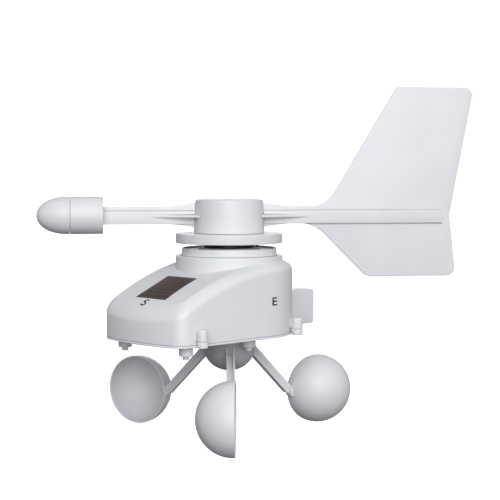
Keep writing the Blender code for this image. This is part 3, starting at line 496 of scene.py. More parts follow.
def panel_slab(name, length, width, low, high, edge):
    item = block(name, (-width / 2, -length / 2, low), (width / 2, length / 2, high), edge)
    return move(item, (0, PANEL_Y, roof_height(PANEL_Y) - PANEL_SINK), (roof_slope(PANEL_Y), 0, 0))


def ear_web(name, x, y, low, high):
    inner = x - math.copysign(EAR_REACH_NORTH if y > 0 else EAR_REACH_SOUTH, x)
    return block(name, (min(inner, x), y - 3 * MM, low), (max(inner, x), y + 3 * MM, high),
                 0.6 * MM, 3)


def build_housing():
    """The shell: wedge, turret and ears, hollow, with a pocket for the panel and a tube hole."""
    shell = housing_solid("case_shell", 0.0, SHELL_BOTTOM, 0.0, 8, foot=0.25 * MM)
    turret = rounded([(0, TURRET_TOP, 0), (TURRET_RADIUS, TURRET_TOP, 1.1 * MM),
                      (TURRET_RADIUS, 46 * MM, 0), (0, 46 * MM, 0)], 6, closed=False)
    combine(shell, [lathe("turret", turret, 160)])
    for place in EARS.values():
        dome = rounded([(0, EAR_TOP, 0), (EAR_RADIUS, EAR_TOP, 1.6 * MM),
                        (EAR_RADIUS, EAR_SPLIT + GAP, 0.3 * MM), (0, EAR_SPLIT + GAP, 0)], 8,
                       closed=False)
        ear = move(lathe("ear", dome, 48), (place.x, place.y, 0))
        web = ear_web("web", place.x, place.y, EAR_SPLIT + 0.7 * MM, EAR_TOP - 1.2 * MM)
        combine(shell, [web, ear])
    combine(shell, [housing_solid("cavity", WALL, -2 * MM, WALL, 6)], "DIFFERENCE")
    combine(shell, [pin(TURRET_RADIUS - WALL, TURRET_TOP - WALL, 20 * MM, 96)], "DIFFERENCE")
    combine(shell, [panel_slab("pad", PANEL_LENGTH + 4 * MM, PANEL_WIDTH + 4 * MM,
                               -PANEL_THICKNESS - 2.2 * MM, 0.0, 0.0)])
    combine(shell, [panel_slab("pocket", PANEL_LENGTH + 2 * GAP, PANEL_WIDTH + 2 * GAP,
                               -PANEL_THICKNESS - GAP, 6 * MM, 0.0)], "DIFFERENCE")
    combine(shell, [pin(TUBE_RADIUS + GAP, 80 * MM, 60 * MM, 64)], "DIFFERENCE")
    shade(shell, 16)
    finish_piece(shell, CASE, "housing", ["housing_shell"])


def build_base():
    """The plate under the shell: lower halves of the ears, pillars for the board, openings."""
    base = slab("base_plate", full_outline(0.0), BASE_TOP, 0.5 * MM, offset=BASE_TOP / 2)
    for place in EARS.values():
        lug = rounded([(0, EAR_SPLIT, 0), (EAR_RADIUS, EAR_SPLIT, 0.3 * MM),
                       (EAR_RADIUS, 0, 0.7 * MM), (0, 0, 0)], 4, closed=False)
        web = ear_web("web", place.x, place.y, 0.1 * MM, BASE_TOP - 0.1 * MM)
        combine(base, [web, move(lathe("lug", lug, 48), (place.x, place.y, 0))])
        hole = [(0, 8 * MM), (SCREW_RADIUS, 8 * MM), (SCREW_RADIUS, 2.1 * MM),
                (SCREW_HEAD_RADIUS, 2.1 * MM), (SCREW_HEAD_RADIUS, -1 * MM), (0, -1 * MM)]
        combine(base, [move(lathe("hole", hole, 32), (place.x, place.y, 0))], "DIFFERENCE")
    for number in range(1, 5):
        place = middle(f"board_screw_{number}")
        pillar = [(0, 39.7 * MM), (3.2 * MM, 39.7 * MM), (3.4 * MM, 1 * MM), (0, 1 * MM)]
        combine(base, [move(lathe("pillar", pillar, 24), (place.x, place.y, 0))])
        combine(base, [pin(1.5 * MM, 50 * MM, 30 * MM, 16, (place.x, place.y, 0))], "DIFFERENCE")
    for place in FEET.values():
        combine(base, [pin(2.8 * MM, 4 * MM, -1 * MM, 24, (place.x, place.y, 0))], "DIFFERENCE")
    combine(base, [pin(TUBE_RADIUS + GAP, 3 * MM, -1 * MM, 64)], "DIFFERENCE")
    combine(base, [door_plate("opening", GAP, 8 * MM, 0.0, 0.0),
                   door_tab("opening_tab", GAP, 7.8 * MM, 0.0, 0.0)], "DIFFERENCE")
    finish_piece(base, CASE, "housing", ["base_cover"])


DOOR_LOW, DOOR_HIGH = local("battery_door")
DOOR_WIDTH = DOOR_HIGH.x - DOOR_LOW.x
DOOR_LENGTH = 44 * MM
TAB_WIDTH, TAB_LENGTH = 12 * MM, 10 * MM
DOOR_Y = DOOR_HIGH.y - DOOR_LENGTH / 2
TAB_Y = DOOR_Y - DOOR_LENGTH / 2 - TAB_LENGTH / 2


def rectangle(width, length, centre_y, radius):
    x, y = width / 2, length / 2
    corners = [(-x, -y, radius), (x, -y, radius), (x, y, radius), (-x, y, radius)]
    return [(px, py + centre_y) for px, py in rounded(corners, 5)]


def door_plate(name, margin, thickness, level, edge):
    return slab(name, rectangle(DOOR_WIDTH + 2 * margin, DOOR_LENGTH + 2 * margin, DOOR_Y, 2 * MM),
                thickness, edge, offset=level)


def door_tab(name, margin, thickness, level, edge):
    return slab(name, rectangle(TAB_WIDTH + 2 * margin, TAB_LENGTH + 4 * MM, TAB_Y + 2 * MM - margin,
                                1.5 * MM), thickness, edge, offset=level)


def build_battery_door():
    door = door_plate("battery_lid", 0.0, 1.7 * MM, 0.85 * MM, 0.3 * MM)
    combine(door, [door_tab("tab", 0.0, 1.6 * MM, 0.85 * MM, 0.3 * MM)])
    for number in range(6):
        y = DOOR_Y - 12.5 * MM + 5 * MM * number
        groove = block("groove", (-20 * MM, y - 0.6 * MM, -1 * MM), (20 * MM, y + 0.6 * MM, 0.4 * MM))
        combine(door, [groove], "DIFFERENCE")
    place = middle("battery_door_screw")
    combine(door, [pin(SCREW_RADIUS, 3 * MM, -1 * MM, 24, (place.x, place.y, 0))], "DIFFERENCE")
    finish_piece(door, CASE, "housing", ["battery_door"])


def build_feet():
    for side, place in FEET.items():
        profile = rounded([(0, 3.2 * MM, 0), (2.5 * MM, 3.2 * MM, 0.3 * MM), (2.5 * MM, -GAP, 0),
                           (6.2 * MM, -GAP, 0.3 * MM), (6.0 * MM, -8.3 * MM, 0.7 * MM),
                           (3.0 * MM, -8.5 * MM, 0.2 * MM), (2.8 * MM, -11.6 * MM, 0.6 * MM),
                           (0, -11.6 * MM, 0)], 4, closed=False)
        foot = move(lathe("foot", profile, 48), (place.x, place.y, 0))
        foot.name = "standing_" + side
        finish_piece(foot, CASE, "housing", ["foot_" + side])


def build_collar():
    """A step on the turret, dished around a raised seat for the black ring."""
    radius, inside = COLLAR_RADIUS, COLLAR_RADIUS - COLLAR_RIM
    low, top = TURRET_TOP + GAP, local("turret_collar")[1].z
    hole, skirt = TUBE_RADIUS + GAP, COLLAR_RADIUS + 1.2 * MM
    profile = rounded([(hole, COLLAR_UNDER, 0), (hole, top, 0),
                       (COLLAR_SEAT, top, 0.3 * MM), (COLLAR_SEAT, COLLAR_DISH, 0.3 * MM),
                       (inside, COLLAR_DISH, 0.3 * MM), (inside, top, 0.3 * MM),
                       (radius, top, 0.9 * MM), (radius + 0.1 * MM, 75 * MM, 1.0 * MM),
                       (skirt, low + 0.3 * MM, 0.2 * MM), (skirt, low, 0),
                       (radius - 2.5 * MM, low, 0), (radius - 2.5 * MM, COLLAR_UNDER, 0)], 4)
    collar = lathe("collar_step", profile, 144, closed=True)
    finish_piece(collar, CASE, "housing", ["turret_collar"])


def build_black_ring():
    """The vane's bearing housing: a ring on a tube, with three snap hooks standing clear of it."""
    r, low, top = RING_RADIUS, RING_LOW, local("vane_bearing_housing")[1].z
    profile = rounded([(RING_BORE, top, 0.2 * MM), (r - 0.8 * MM, top, 0.3 * MM),
                       (r - 0.6 * MM, top - 1.0 * MM, 0.1 * MM), (r, top - 1.2 * MM, 0.2 * MM),
                       (r, low, 0.2 * MM), (TUBE_RADIUS, low, 0),
                       (TUBE_RADIUS, TUBE_LOW, 0.3 * MM), (TUBE_BORE, TUBE_LOW, 0),
                       (TUBE_BORE, TUBE_LOW + 2 * MM, 0), (RING_BORE, TUBE_LOW + 2 * MM, 0)], 3)
    housing = lathe("bearing_ring", profile, 96, closed=True)
    start, foot, web = r - 1 * MM, low + 0.1 * MM, low + 1.0 * MM
    outline = rounded([(start, foot, 0), (HOOK_OUTER, foot, 0.3 * MM),
                       (HOOK_OUTER, HOOK_TOP, 0.5 * MM), (HOOK_INNER, HOOK_TOP, 0.3 * MM),
                       (HOOK_INNER, web, 0.4 * MM), (start, web, 0)], 3)
    for degrees in HOOK_HEADINGS:
        hook = slab("hook", outline, 5 * MM, 0.3 * MM, upright=True)
        combine(housing, [move(hook, rotation=(0, 0, math.radians(degrees)))])
    finish_piece(housing, BLACK, "housing", ["vane_bearing_housing"])


def build_mount_block():
    """Rear block, its north end eased, with a slightly wider skirt where it meets the wall."""
    low, high = local("mount_block")
    half, depth, centre = high.x, high.y, (low.z + high.z) / 2
    side = rounded([(40 * MM, low.z, 0), (depth, low.z, 3 * MM), (depth, high.z, 3 * MM),
                    (40 * MM, high.z, 0)], 8)
    item = move(slab("rear_block", side, 2 * half, 1.6 * MM, upright=True, segments=4),
                rotation=(0, 0, math.pi / 2))
    skirt = half + 0.8 * MM
    plan = rounded([(-skirt, 45 * MM, 0), (skirt, 45 * MM, 0),
                    (skirt, 64 * MM, 1 * MM), (-skirt, 64 * MM, 1 * MM)], 4)
    combine(item, [slab("skirt", plan, high.z - low.z - 1 * MM, 0.5 * MM, offset=centre)])
    combine(item, [pin(NORTH_RADIUS + GAP, 80 * MM, -10 * MM, 192)], "DIFFERENCE")
    for x in (-PILOT_SPACING, PILOT_SPACING):
        for z in (-PILOT_SPACING, PILOT_SPACING):
            hole = pin(PILOT_RADIUS, 1 * MM, -12 * MM, 24, (x, depth, centre + z),
                       (-math.pi / 2, 0, 0))
            combine(item, [hole], "DIFFERENCE")
    finish_piece(item, CASE, "housing", ["mount_block"])


def build_solar_panel():
    glass = panel_slab("solar_window", PANEL_LENGTH, PANEL_WIDTH, -PANEL_THICKNESS, 0.0, 0.35 * MM)
    finish_piece(glass, CELL, "housing", ["solar_panel"])


BOLDER = 0.14 * MM
INK_HEIGHT, INK_DEPTH = 0.12 * MM, -0.4 * MM
FONT_HEIGHT = 1.42          # a font's size over the height of its capitals


def build_mark(name, letter, size, place_on, wider=1.0):
    """A plain compass letter, standing slightly proud of the surface it is placed on."""
    curve = bpy.data.curves.new(name, "FONT")
    curve.body = letter
    curve.size = size * FONT_HEIGHT
    curve.align_x = "CENTER"
    curve.extrude = 0.5
    curve.offset = BOLDER
    guide = bpy.data.objects.new(name + "_guide", curve)
    bpy.context.scene.collection.objects.link(guide)
    graph = bpy.context.evaluated_depsgraph_get()
    mesh = bpy.data.meshes.new_from_object(guide.evaluated_get(graph))
    bpy.data.objects.remove(guide)
    bm = bmesh.new()
    bm.from_mesh(mesh)
    bpy.data.meshes.remove(mesh)
    bmesh.ops.remove_doubles(bm, verts=bm.verts, dist=1e-6)
    bottom, top = min(v.co.y for v in bm.verts), max(v.co.y for v in bm.verts)
    for vert in bm.verts:
        across, up = vert.co.x * wider, vert.co.y - (bottom + top) / 2
        vert.co = place_on(across, up, INK_HEIGHT if vert.co.z > 0 else INK_DEPTH)
    item = new_object(name, bm, 30)
    finish_piece(item, MARK, "housing", [])


def on_wall(angle, height):
    """Placing function for the round wall, at a compass angle and a height."""
    def place_on(across, up, proud):
        turn = angle + across / NORTH_RADIUS
        reach = NORTH_RADIUS + proud
        return (reach * math.cos(turn), reach * math.sin(turn), height + up)
    return place_on


def on_roof(centre_y):
    """Placing function for the sloping roof, around a place on its middle line."""
    def place_on(across, up, proud):
        y = centre_y + up * math.cos(roof_slope(centre_y))
        tilt = roof_slope(y)
        return (across, y - proud * math.sin(tilt), roof_height(y) + proud * math.cos(tilt))
    return place_on


def build_marks():
    size = 7.4 * MM
    build_mark("compass_east", "E", size, on_wall(0.0, 33.5 * MM), 1.35)
    build_mark("compass_north", "N", size, on_wall(math.pi / 2, 49 * MM), 1.15)
    build_mark("compass_west", "W", size, on_wall(math.pi, 33.5 * MM), 1.15)
    build_mark("compass_south", "S", 8.6 * MM, on_roof(-102.2 * MM), 1.25)


# ---------------------------------------------------------------- wind vane
HUB_LOW, HUB_TOP = 93.4 * MM, 124.2 * MM
HUB_RADIUS_LOW, HUB_RADIUS_TOP = 32.7 * MM, 31.2 * MM
FLANGE_RADIUS = 49.4 * MM
SHAFT_HOLE = 3.3 * MM
ARM_LOW, ARM_TOP = 101.6 * MM, 117.8 * MM
ARM_ROOT = HUB_RADIUS_LOW + GAP
ARM_ROOT_DEEPER = 3.1 * MM
ARM_FLARE = 59 * MM
ARM_START = 28 * MM         # inside the hub's outline; the hub clearance trims it
PLATE_THICKNESS = 2.8 * MM
BAR_WIDTH = 7.0 * MM
BAR_TOP = 113.5 * MM
BAR_END = 204 * MM
GROOVE_HEIGHT, GROOVE_DEPTH = 1.0 * MM, 1.0 * MM
RAIL = 2.7 * MM
POCKET_DEPTH, POCKET_END = 1.7 * MM, 74 * MM
GUSSET_Z = 108.9 * MM
NOSE_Z = 110.1 * MM
NOSE_RADIUS = 17.1 * MM
NOSE_BACK, NOSE_SEAM, NOSE_TIP = -116.3 * MM, -146.0 * MM, -176.3 * MM


def build_vane_centre():
    """The flange, a disc with a hollow underside, and the hub, a drum with a dished top."""
    low, top = local("vane_flange")[0].z, local("vane_flange")[1].z
    inside, under, boss = FLANGE_RADIUS - 2.2 * MM, top - 2.4 * MM, 10 * MM
    profile = rounded([(SHAFT_HOLE, low, 0), (SHAFT_HOLE, top, 0), (FLANGE_RADIUS, top, 0.9 * MM),
                       (FLANGE_RADIUS, low, 0.5 * MM), (inside, low, 0.4 * MM),
                       (inside, under, 0.8 * MM), (boss, under, 0.8 * MM), (boss, low, 0.3 * MM)], 5)
    flange = lathe("flange_disc", profile, 160, closed=True)
    finish_piece(flange, VANE, "vane", ["vane_flange"], VANE_TURN)

    inner, under, recess = HUB_RADIUS_LOW - 2.4 * MM, HUB_TOP - 2.6 * MM, HUB_TOP - 0.35 * MM
    socket, socket_top = 7 * MM, 118.5 * MM
    profile = rounded([(0, recess, 0), (HUB_RADIUS_TOP - 3.2 * MM, recess, 1 * MM),
                       (HUB_RADIUS_TOP - 2.2 * MM, HUB_TOP, 0.5 * MM),
                       (HUB_RADIUS_TOP, HUB_TOP, 1.4 * MM), (HUB_RADIUS_LOW, HUB_LOW, 0.3 * MM),
                       (inner, HUB_LOW, 0), (inner, under, 0.8 * MM), (socket, under, 0),
                       (socket, HUB_LOW, 0), (SHAFT_HOLE, HUB_LOW, 0),
                       (SHAFT_HOLE, socket_top, 0), (0, socket_top, 0)], 6, closed=False)
    hub = lathe("hub_drum", profile, 128)
    finish_piece(hub, VANE, "vane", ["vane_hub"], VANE_TURN)


def gusset(side, steps=14):
    """Level web that widens to the hub in a hollow curve."""
    root, tip = ARM_START - 4 * MM, POCKET_END + (13 * MM if side > 0 else 7 * MM)
    edge = []
    for i in range(steps + 1):
        t = i / steps
        edge.append((root + (tip - root) * t, 2.9 * MM + 13.5 * MM * (1 - t) ** 1.6))
    outline = [(side * x, y) for x, y in edge] + [(side * x, -y) for x, y in reversed(edge)]
    return slab("gusset", outline, 2.1 * MM, 0.3 * MM, offset=GUSSET_Z)


def hub_clearance():
    low, top = HUB_LOW - 10 * MM, HUB_TOP + 10 * MM
    lean = (HUB_RADIUS_LOW - HUB_RADIUS_TOP) / (HUB_TOP - HUB_LOW) * 10 * MM
    return lathe("clearance", [(0, top), (HUB_RADIUS_TOP + GAP - lean, top),
                               (HUB_RADIUS_LOW + GAP + lean, low), (0, low)], 128)


def flared_edges(side, steps=12):
    """Upper and lower edges of an arm's plate, which deepens towards the hub."""
    upper, lower = [], []
    for i in range(steps + 1):
        x = ARM_START + (ARM_FLARE - ARM_START) * i / steps
        deeper = ARM_ROOT_DEEPER * ((ARM_FLARE - x) / (ARM_FLARE - ARM_ROOT)) ** 1.6
        upper.append((side * x, ARM_TOP + deeper))
        lower.append((side * x, ARM_LOW - deeper))
    return upper, lower


def cut_grooves(arm, side, start, reach, height):
    """A fine line pressed into both faces of an arm's plate, above or below the bar."""
    face = PLATE_THICKNESS / 2 - GROOVE_DEPTH
    low, high = sorted((side * start, side * reach))
    for end in (-1, 1):
        near, far = sorted((end * face, end * BAR_WIDTH))
        line = block("line", (low, near, height), (high, far, height + GROOVE_HEIGHT))
        combine(arm, [line], "DIFFERENCE")


def bar_section():
    """Section of the raised bar: round above, crisper below."""
    half = BAR_WIDTH / 2
    return rounded([(-half + 0.25 * MM, ARM_LOW, 0.5 * MM), (half - 0.25 * MM, ARM_LOW, 0.5 * MM),
                    (half + 0.1 * MM, ARM_LOW + 5 * MM, 8 * MM), (half, BAR_TOP, 1.3 * MM),
                    (-half, BAR_TOP, 1.3 * MM), (-half - 0.1 * MM, ARM_LOW + 5 * MM, 8 * MM)], 6)


def add_bar(arm, side, reach):
    """The raised bar of an arm with its pockets, the gusset, and the room for the hub."""
    length = reach - ARM_START
    bar = slab("bar", bar_section(), length, 0.35 * MM, offset=ARM_START + length / 2)
    for vert in bar.data.vertices:
        across, up, along = vert.co
        vert.co = (side * along, -side * across, up)
    combine(arm, [bar])
    half = BAR_WIDTH / 2
    for end in (-1, 1):
        outline = [(side * (ARM_START - 2 * MM), end * (half - POCKET_DEPTH)),
                   (side * (ARM_ROOT + 4 * MM), end * (half - POCKET_DEPTH)),
                   (side * POCKET_END, end * (half + 0.15 * MM)),
                   (side * (ARM_START - 2 * MM), end * (half + 3 * MM))]
        combine(arm, [slab("pocket", outline, BAR_TOP - ARM_LOW - 2 * RAIL, 0.0,
                           offset=(BAR_TOP + ARM_LOW) / 2)], "DIFFERENCE")
    combine(arm, [gusset(side)])
    combine(arm, [hub_clearance()], "DIFFERENCE")


def build_vane_arm():
    upper, lower = flared_edges(-1)
    end = NOSE_BACK + GAP
    outline = upper + [(end, ARM_TOP), (end, ARM_LOW)] + list(reversed(lower))
    arm = slab("vane_boom", outline, PLATE_THICKNESS, 0.5 * MM, upright=True)
    cut_grooves(arm, -1, ARM_START, -end + 1 * MM, BAR_TOP)
    add_bar(arm, -1, -end)
    finish_piece(arm, VANE, "vane", ["vane_arm"], VANE_TURN)


def build_tail():
    upper, lower = flared_edges(1)
    corners = [(x, z, 0) for x, z in lower]
    corners += [(80.0 * MM, ARM_LOW, 32 * MM), (130.3 * MM, 51.3 * MM, 9 * MM),
                (218.4 * MM, 50.9 * MM, 8 * MM), (211.5 * MM, 108.4 * MM, 4 * MM),
                (234.4 * MM, 229.8 * MM, 7.2 * MM), (159.2 * MM, 229.8 * MM, 4.5 * MM),
                (91.9 * MM, ARM_TOP, 26 * MM)]
    corners += [(x, z, 0) for x, z in reversed(upper)]
    fin = slab("fin_blade", rounded(corners, 10), PLATE_THICKNESS, 0.9 * MM, upright=True, segments=4)
    cut_grooves(fin, 1, ARM_START, BAR_END, BAR_TOP)
    cut_grooves(fin, 1, 66 * MM, BAR_END, ARM_LOW - GROOVE_HEIGHT)
    add_bar(fin, 1, BAR_END)
    finish_piece(fin, VANE, "vane", ["tail_fin"], VANE_TURN)


def lay_along_x(item, x):
    """Turn a lathed piece so that its top points to the nose."""
    return move(item, (x, 0, NOSE_Z), (0, -math.pi / 2, 0))


def groove(radius, at, width=0.45 * MM, depth=0.2 * MM):
    """Profile points of a fine line turned into the nose."""
    return [(radius, at, 0), (radius - depth, at + width * 0.3, 0),
            (radius - depth, at + width * 0.7, 0), (radius, at + width, 0)]


def build_nose():
    """The nose's sleeve, closed at the back, and its cap, whose spigot reaches into the sleeve."""
    r, wall = NOSE_RADIUS, 2.2 * MM
    length = NOSE_BACK - NOSE_SEAM
    corners = [(0, 0, 0), (r, 0, 1.0 * MM)] + groove(r, 2.1 * MM) + groove(r, 4.6 * MM)
    corners += [(r, length, 0.35 * MM), (r - wall, length, 0), (r - wall, 2.4 * MM, 0),
                (0, 2.4 * MM, 0)]
    sleeve = lay_along_x(lathe("nose_barrel", rounded(corners, 4, closed=False), 96), NOSE_BACK)
    finish_piece(sleeve, VANE, "vane", ["nose_sleeve"], VANE_TURN)

    depth, fuller, straight = NOSE_SEAM - NOSE_TIP, 0.94, 3.2 * MM
    curve = [math.pi / 2 * i / 28 for i in range(1, 28)]
    outside = [(r * math.cos(a) ** fuller, straight + (depth - straight) * math.sin(a))
               for a in curve]
    inside = [((r - wall) * math.cos(a), GAP + (depth - wall - GAP) * math.sin(a))
              for a in curve[::2]]
    spigot, spigot_end = r - wall - GAP, -0.4 * MM
    bore = r - wall - 1.6 * MM
    profile = [(0.0, depth - wall)] + inside[::-1]
    profile += [(bore, 2 * MM), (bore, spigot_end), (spigot, spigot_end), (spigot, GAP),
                (r - 0.35 * MM, GAP), (r - 0.05 * MM, GAP + 0.3 * MM)]
    profile += [point[:2] for point in groove(r, 2.4 * MM)] + outside + [(0.0, depth)]
    cap = lay_along_x(lathe("nose_dome", profile, 96), NOSE_SEAM)
    finish_piece(cap, VANE, "vane", ["nose_cap"], VANE_TURN)


# ---------------------------------------------------------------- wind cups
DOME_RADIUS = 24.8 * MM
DOME_Z = -10.5 * MM
CUP_RADIUS = 33.0 * MM
CUP_WALL = 1.6 * MM
CUP_LIP = 1.7 * MM
CUP_DISTANCE = 101.2 * MM
CUP_Z = -61.5 * MM
CUP_TURN_OUT = math.radians(4)
SPOKE_START, SPOKE_END = Vector((19.5 * MM, -11.5 * MM)), Vector((66.5 * MM, -60.0 * MM))
SPOKE_ALONG = (SPOKE_END - SPOKE_START).normalized()
SPOKE_ACROSS = Vector((-SPOKE_ALONG.y, SPOKE_ALONG.x))
SPOKE_TIP = 5.6 * MM
SPOKE = 7.8 * MM
SPOKE_WALL = 1.6 * MM
SPOKE_LINE = 0.45 * MM
PAD_LOW, PAD_HEIGHT = -66.0 * MM, 8.4 * MM
PAD_BACK, PAD_FRONT = -6.5 * MM, 3.4 * MM


def build_dome():
    """Round hub under the base: a straight band with a fine step, closed by a bowl."""
    pole, top = DOME_Z - DOME_RADIUS, -0.6 * MM
    band, bowl = DOME_RADIUS - 0.1 * MM, DOME_RADIUS - 0.7 * MM
    centre = -13.2 * MM
    profile = rounded([(DOME_RADIUS - 2.2 * MM, top, 0), (band, top, 0.5 * MM), (band, centre, 0.2 * MM),
                       (bowl, centre, 0)], 3, closed=False)
    profile += [(bowl * math.cos(a), centre + (pole - centre) * math.sin(a))
                for a in [math.pi / 2 * i / 30 for i in range(1, 28)]]
    head = pole + 2.4 * MM
    profile += [(SCREW_HEAD_RADIUS, pole + 0.5 * MM), (SCREW_HEAD_RADIUS, head),
                (SCREW_RADIUS, head), (SCREW_RADIUS, -27 * MM), (SHAFT_HOLE, -27 * MM),
                (SHAFT_HOLE, -4 * MM), (6.5 * MM, -4 * MM), (6.5 * MM, -31 * MM)]
    profile += arc(0, DOME_Z, DOME_RADIUS - 2.6 * MM, -math.radians(66), 0, 16)
    dome = lathe("rotor_ball", profile, 96, closed=True)
    finish_piece(dome, DOME, "rotor", ["rotor_dome"], ROTOR_TURN)


def spoke_outline(low, high, reach):
    """Side view of a spoke between two offsets from its middle line, with its level tip."""
    under, over = SPOKE_END + SPOKE_ACROSS * low, SPOKE_END + SPOKE_ACROSS * high
    tip_top = under.y + SPOKE_TIP
    shoulder = over.x + (over.y - tip_top) * SPOKE_ALONG.x / -SPOKE_ALONG.y
    first, last = SPOKE_START + SPOKE_ACROSS * high, SPOKE_START + SPOKE_ACROSS * low
    return [(first.x, first.y, 0), (last.x, last.y, 0), (under.x, under.y, 1.2 * MM),
            (reach, under.y, 0), (reach, tip_top, 0), (shoulder, tip_top, 1.0 * MM)]


def spoke_line():
    """A narrow strip along the middle of a spoke's side."""
    across = SPOKE_ACROSS * SPOKE_LINE
    first, last = SPOKE_START - SPOKE_ALONG * MM, SPOKE_END - SPOKE_ALONG * MM
    return [tuple(point) for point in (first + across, first - across, last - across, last + across)]


def ball(radius, centre, segments=64):
    bm = bmesh.new()
    bmesh.ops.create_uvsphere(bm, u_segments=segments, v_segments=segments // 2, radius=radius)
    bmesh.ops.translate(bm, verts=bm.verts, vec=centre)
    return new_object("ball", bm)


def build_spoke(number):
    """A spoke of U section, open above, with a line in each side and a pad behind its cup."""
    half, rim = SPOKE / 2, CUP_DISTANCE - CUP_RADIUS
    reach = rim + 6 * MM
    arm = slab(f"spoke_{number}", rounded(spoke_outline(-half, half, reach), 5), SPOKE, 0.35 * MM,
               upright=True)
    trough = rounded(spoke_outline(-half + SPOKE_WALL, half + 4 * MM, reach), 4)
    combine(arm, [slab("channel", trough, SPOKE - 2 * SPOKE_WALL, upright=True)], "DIFFERENCE")
    for end in (-1, 1):
        line = slab("line", spoke_line(), 2 * SPOKE_LINE, upright=True, offset=end * half)
        combine(arm, [line], "DIFFERENCE")
    combine(arm, [block("pad", (rim - 1.8 * MM, PAD_BACK, PAD_LOW),
                        (rim + 5 * MM, PAD_FRONT, PAD_LOW + PAD_HEIGHT), 1.2 * MM)])
    combine(arm, [ball(DOME_RADIUS + GAP, (0, 0, DOME_Z)),
                  ball(CUP_RADIUS + GAP, (CUP_DISTANCE, 0, CUP_Z), 96)], "DIFFERENCE")
    turn = ROTOR_TURN + math.radians(120 * (number - 1))
    finish_piece(arm, CUPS, "rotor", [f"cup_arm_{number}"], turn)


def build_cup(number):
    """A thin half ball with a short straight lip, opening sideways."""
    bowl = CUP_RADIUS - CUP_WALL
    steps = 28
    quarter = [math.pi / 2 * i / steps for i in range(steps)]
    outside = [(CUP_RADIUS * math.cos(a), -CUP_RADIUS * math.sin(a)) for a in quarter]
    inside = [(bowl * math.cos(a), -bowl * math.sin(a)) for a in reversed(quarter)]
    lip = rounded([(bowl, 0, 0), (bowl, CUP_LIP, 0.5 * MM), (CUP_RADIUS, CUP_LIP, 0.5 * MM),
                   (CUP_RADIUS, 0, 0)], 4, closed=False)
    profile = [(0.0, -bowl)] + inside + lip[1:-1] + outside + [(0.0, -CUP_RADIUS)]
    cup = lathe(f"bowl_{number}", profile, 112)
    move(cup, (CUP_DISTANCE, 0, CUP_Z), (-math.pi / 2, 0, -CUP_TURN_OUT))
    turn = ROTOR_TURN + math.radians(120 * (number - 1))
    finish_piece(cup, CUPS, "rotor", [f"wind_cup_{number}"], turn)


# ---------------------------------------------------------------- frame nodes that stay
LOOKS = {"case_gasket": SEAL, "rotor_bearing_housing": BLACK, "circuit_board": BOARD,
         "radio_module": CHIP, "vane_sensor_chip": CHIP, "rotor_sensor_chip": CHIP, "antenna": COPPER,
         "battery_tray": TRAY, "battery_cell": JACKET, "battery_contact": CONTACT, "magnet": MAGNET,
         "nose_weight": WEIGHT}


def dress_frame_nodes():
    """Every node that stays gets the look of its own stuff; the rest are steel."""
    for name, item in frame["nodes"].items():
        look = next((material for key, material in LOOKS.items() if key in name), STEEL)
        item.data.materials.clear()
        item.data.materials.append(look)


# ---------------------------------------------------------------- stage, light and camera
def build_stage():
    """A plain white bowl of a studio: level floor, rounded up into a wall all round."""
    floor, radius, corner = -1.0, 7.0, 3.0
    wall = arc(radius - corner, floor + corner, corner, -math.pi / 2, 0, 16)
    profile = [(0.0, floor)] + wall + [(radius, 9.0)]
    stage = lathe("studio", profile, 64, smooth_angle=60)
    material, _, _, shader = start_material("studio_white")
    shader.inputs["Base Color"].default_value = (0.9, 0.9, 0.9, 1)
    shader.inputs["Roughness"].default_value = 0.9
    shader.inputs["Emission Color"].default_value = (1, 1, 1, 1)
    shader.inputs["Emission Strength"].default_value = 0.95
    stage.data.materials.append(material)
    stage.visible_diffuse = False
    stage.visible_glossy = False
    stage.visible_shadow = False


VIEW_AZIMUTH = math.radians(45)
VIEW_ELEVATION = math.radians(3.48)
VIEW_DISTANCE = 1.1355
RIGHT = Vector((math.cos(VIEW_AZIMUTH), math.sin(VIEW_AZIMUTH), 0))
FORWARD = Vector((-math.sin(VIEW_AZIMUTH) * math.cos(VIEW_ELEVATION),
                  math.cos(VIEW_AZIMUTH) * math.cos(VIEW_ELEVATION), -math.sin(VIEW_ELEVATION)))
LOOK_AT = ORIGIN + RIGHT * 0.0194 + Vector((0, 0, 0.0772))
LENS, SENSOR_WIDTH = 87.9, 36
LIGHT_DISTANCE = 3.0
SKY_TOP = RIGHT * 0.32 + Vector((0, 0, 0.95))
SKY_COLOURS = (0.055, 0.045, 0.055), (0.43, 0.42, 0.43), (0.60, 0.60, 0.60)     # below to above


def aim(item, target):
    direction = target - item.location
    item.rotation_mode = "QUATERNION"
    item.rotation_quaternion = direction.to_track_quat("-Z", "Y")


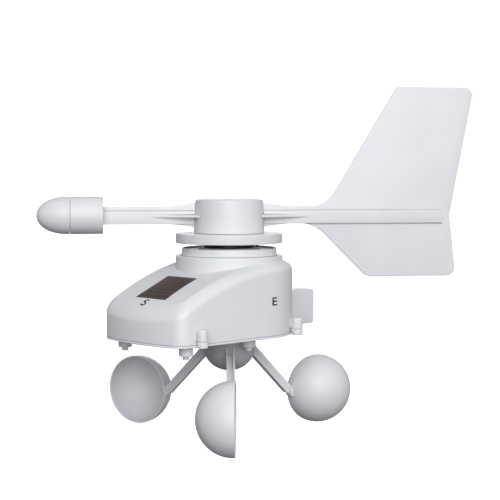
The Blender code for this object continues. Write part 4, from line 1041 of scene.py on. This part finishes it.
def add_area(name, location, size, power):
    light = bpy.data.lights.new(name, "AREA")
    light.shape = "SQUARE"
    light.size = size
    light.energy = power
    item = bpy.data.objects.new(name, light)
    bpy.context.scene.collection.objects.link(item)
    item.location = location
    aim(item, LOOK_AT)


def build_light():
    """A large soft box in front, a small one behind, and a sky that darkens downwards."""
    back = -Vector((FORWARD.x, FORWARD.y, 0)).normalized()
    front_place = LOOK_AT + back * LIGHT_DISTANCE + RIGHT * 0.30 + Vector((0, 0, 1.25))
    add_area("front_box", front_place, 2.7, 104)
    add_area("back_box", LOOK_AT - back * LIGHT_DISTANCE + Vector((0, 0, 0.05)), 1.0, 16)
    world = bpy.data.worlds.new("studio")
    bpy.context.scene.world = world
    world.use_nodes = True
    nodes, links = world.node_tree.nodes, world.node_tree.links
    level = nodes.new("ShaderNodeVectorMath")
    level.operation = "DOT_PRODUCT"
    level.inputs[1].default_value = SKY_TOP
    links.new(nodes.new("ShaderNodeTexCoord").outputs["Generated"], level.inputs[0])
    half = add_node(nodes, "MapRange", {"From Min": -1.0, "From Max": 1.0})
    links.new(level.outputs["Value"], half.inputs["Value"])
    ramp = nodes.new("ShaderNodeValToRGB")
    ramp.color_ramp.elements.new(0.5)
    for element, colour in zip(ramp.color_ramp.elements, SKY_COLOURS):
        element.color = (*colour, 1)
    links.new(half.outputs["Result"], ramp.inputs["Fac"])
    links.new(ramp.outputs["Color"], nodes["Background"].inputs["Color"])
    nodes["Background"].inputs["Strength"].default_value = 0.79


def build_camera():
    camera = bpy.data.cameras.new("camera")
    camera.lens = LENS
    camera.sensor_width = SENSOR_WIDTH
    camera.clip_start, camera.clip_end = 0.05, 50
    item = bpy.data.objects.new("camera", camera)
    bpy.context.scene.collection.objects.link(item)
    item.location = LOOK_AT - FORWARD * VIEW_DISTANCE
    aim(item, LOOK_AT)
    bpy.context.scene.camera = item
    bpy.context.scene.view_settings.view_transform = "Standard"


dress_frame_nodes()
build_housing()
build_base()
build_battery_door()
build_feet()
build_collar()
build_black_ring()
build_mount_block()
build_solar_panel()
build_marks()
build_vane_centre()
build_vane_arm()
build_tail()
build_nose()
build_dome()
for index in (1, 2, 3):
    build_spoke(index)
    build_cup(index)
build_stage()
build_light()
build_camera()
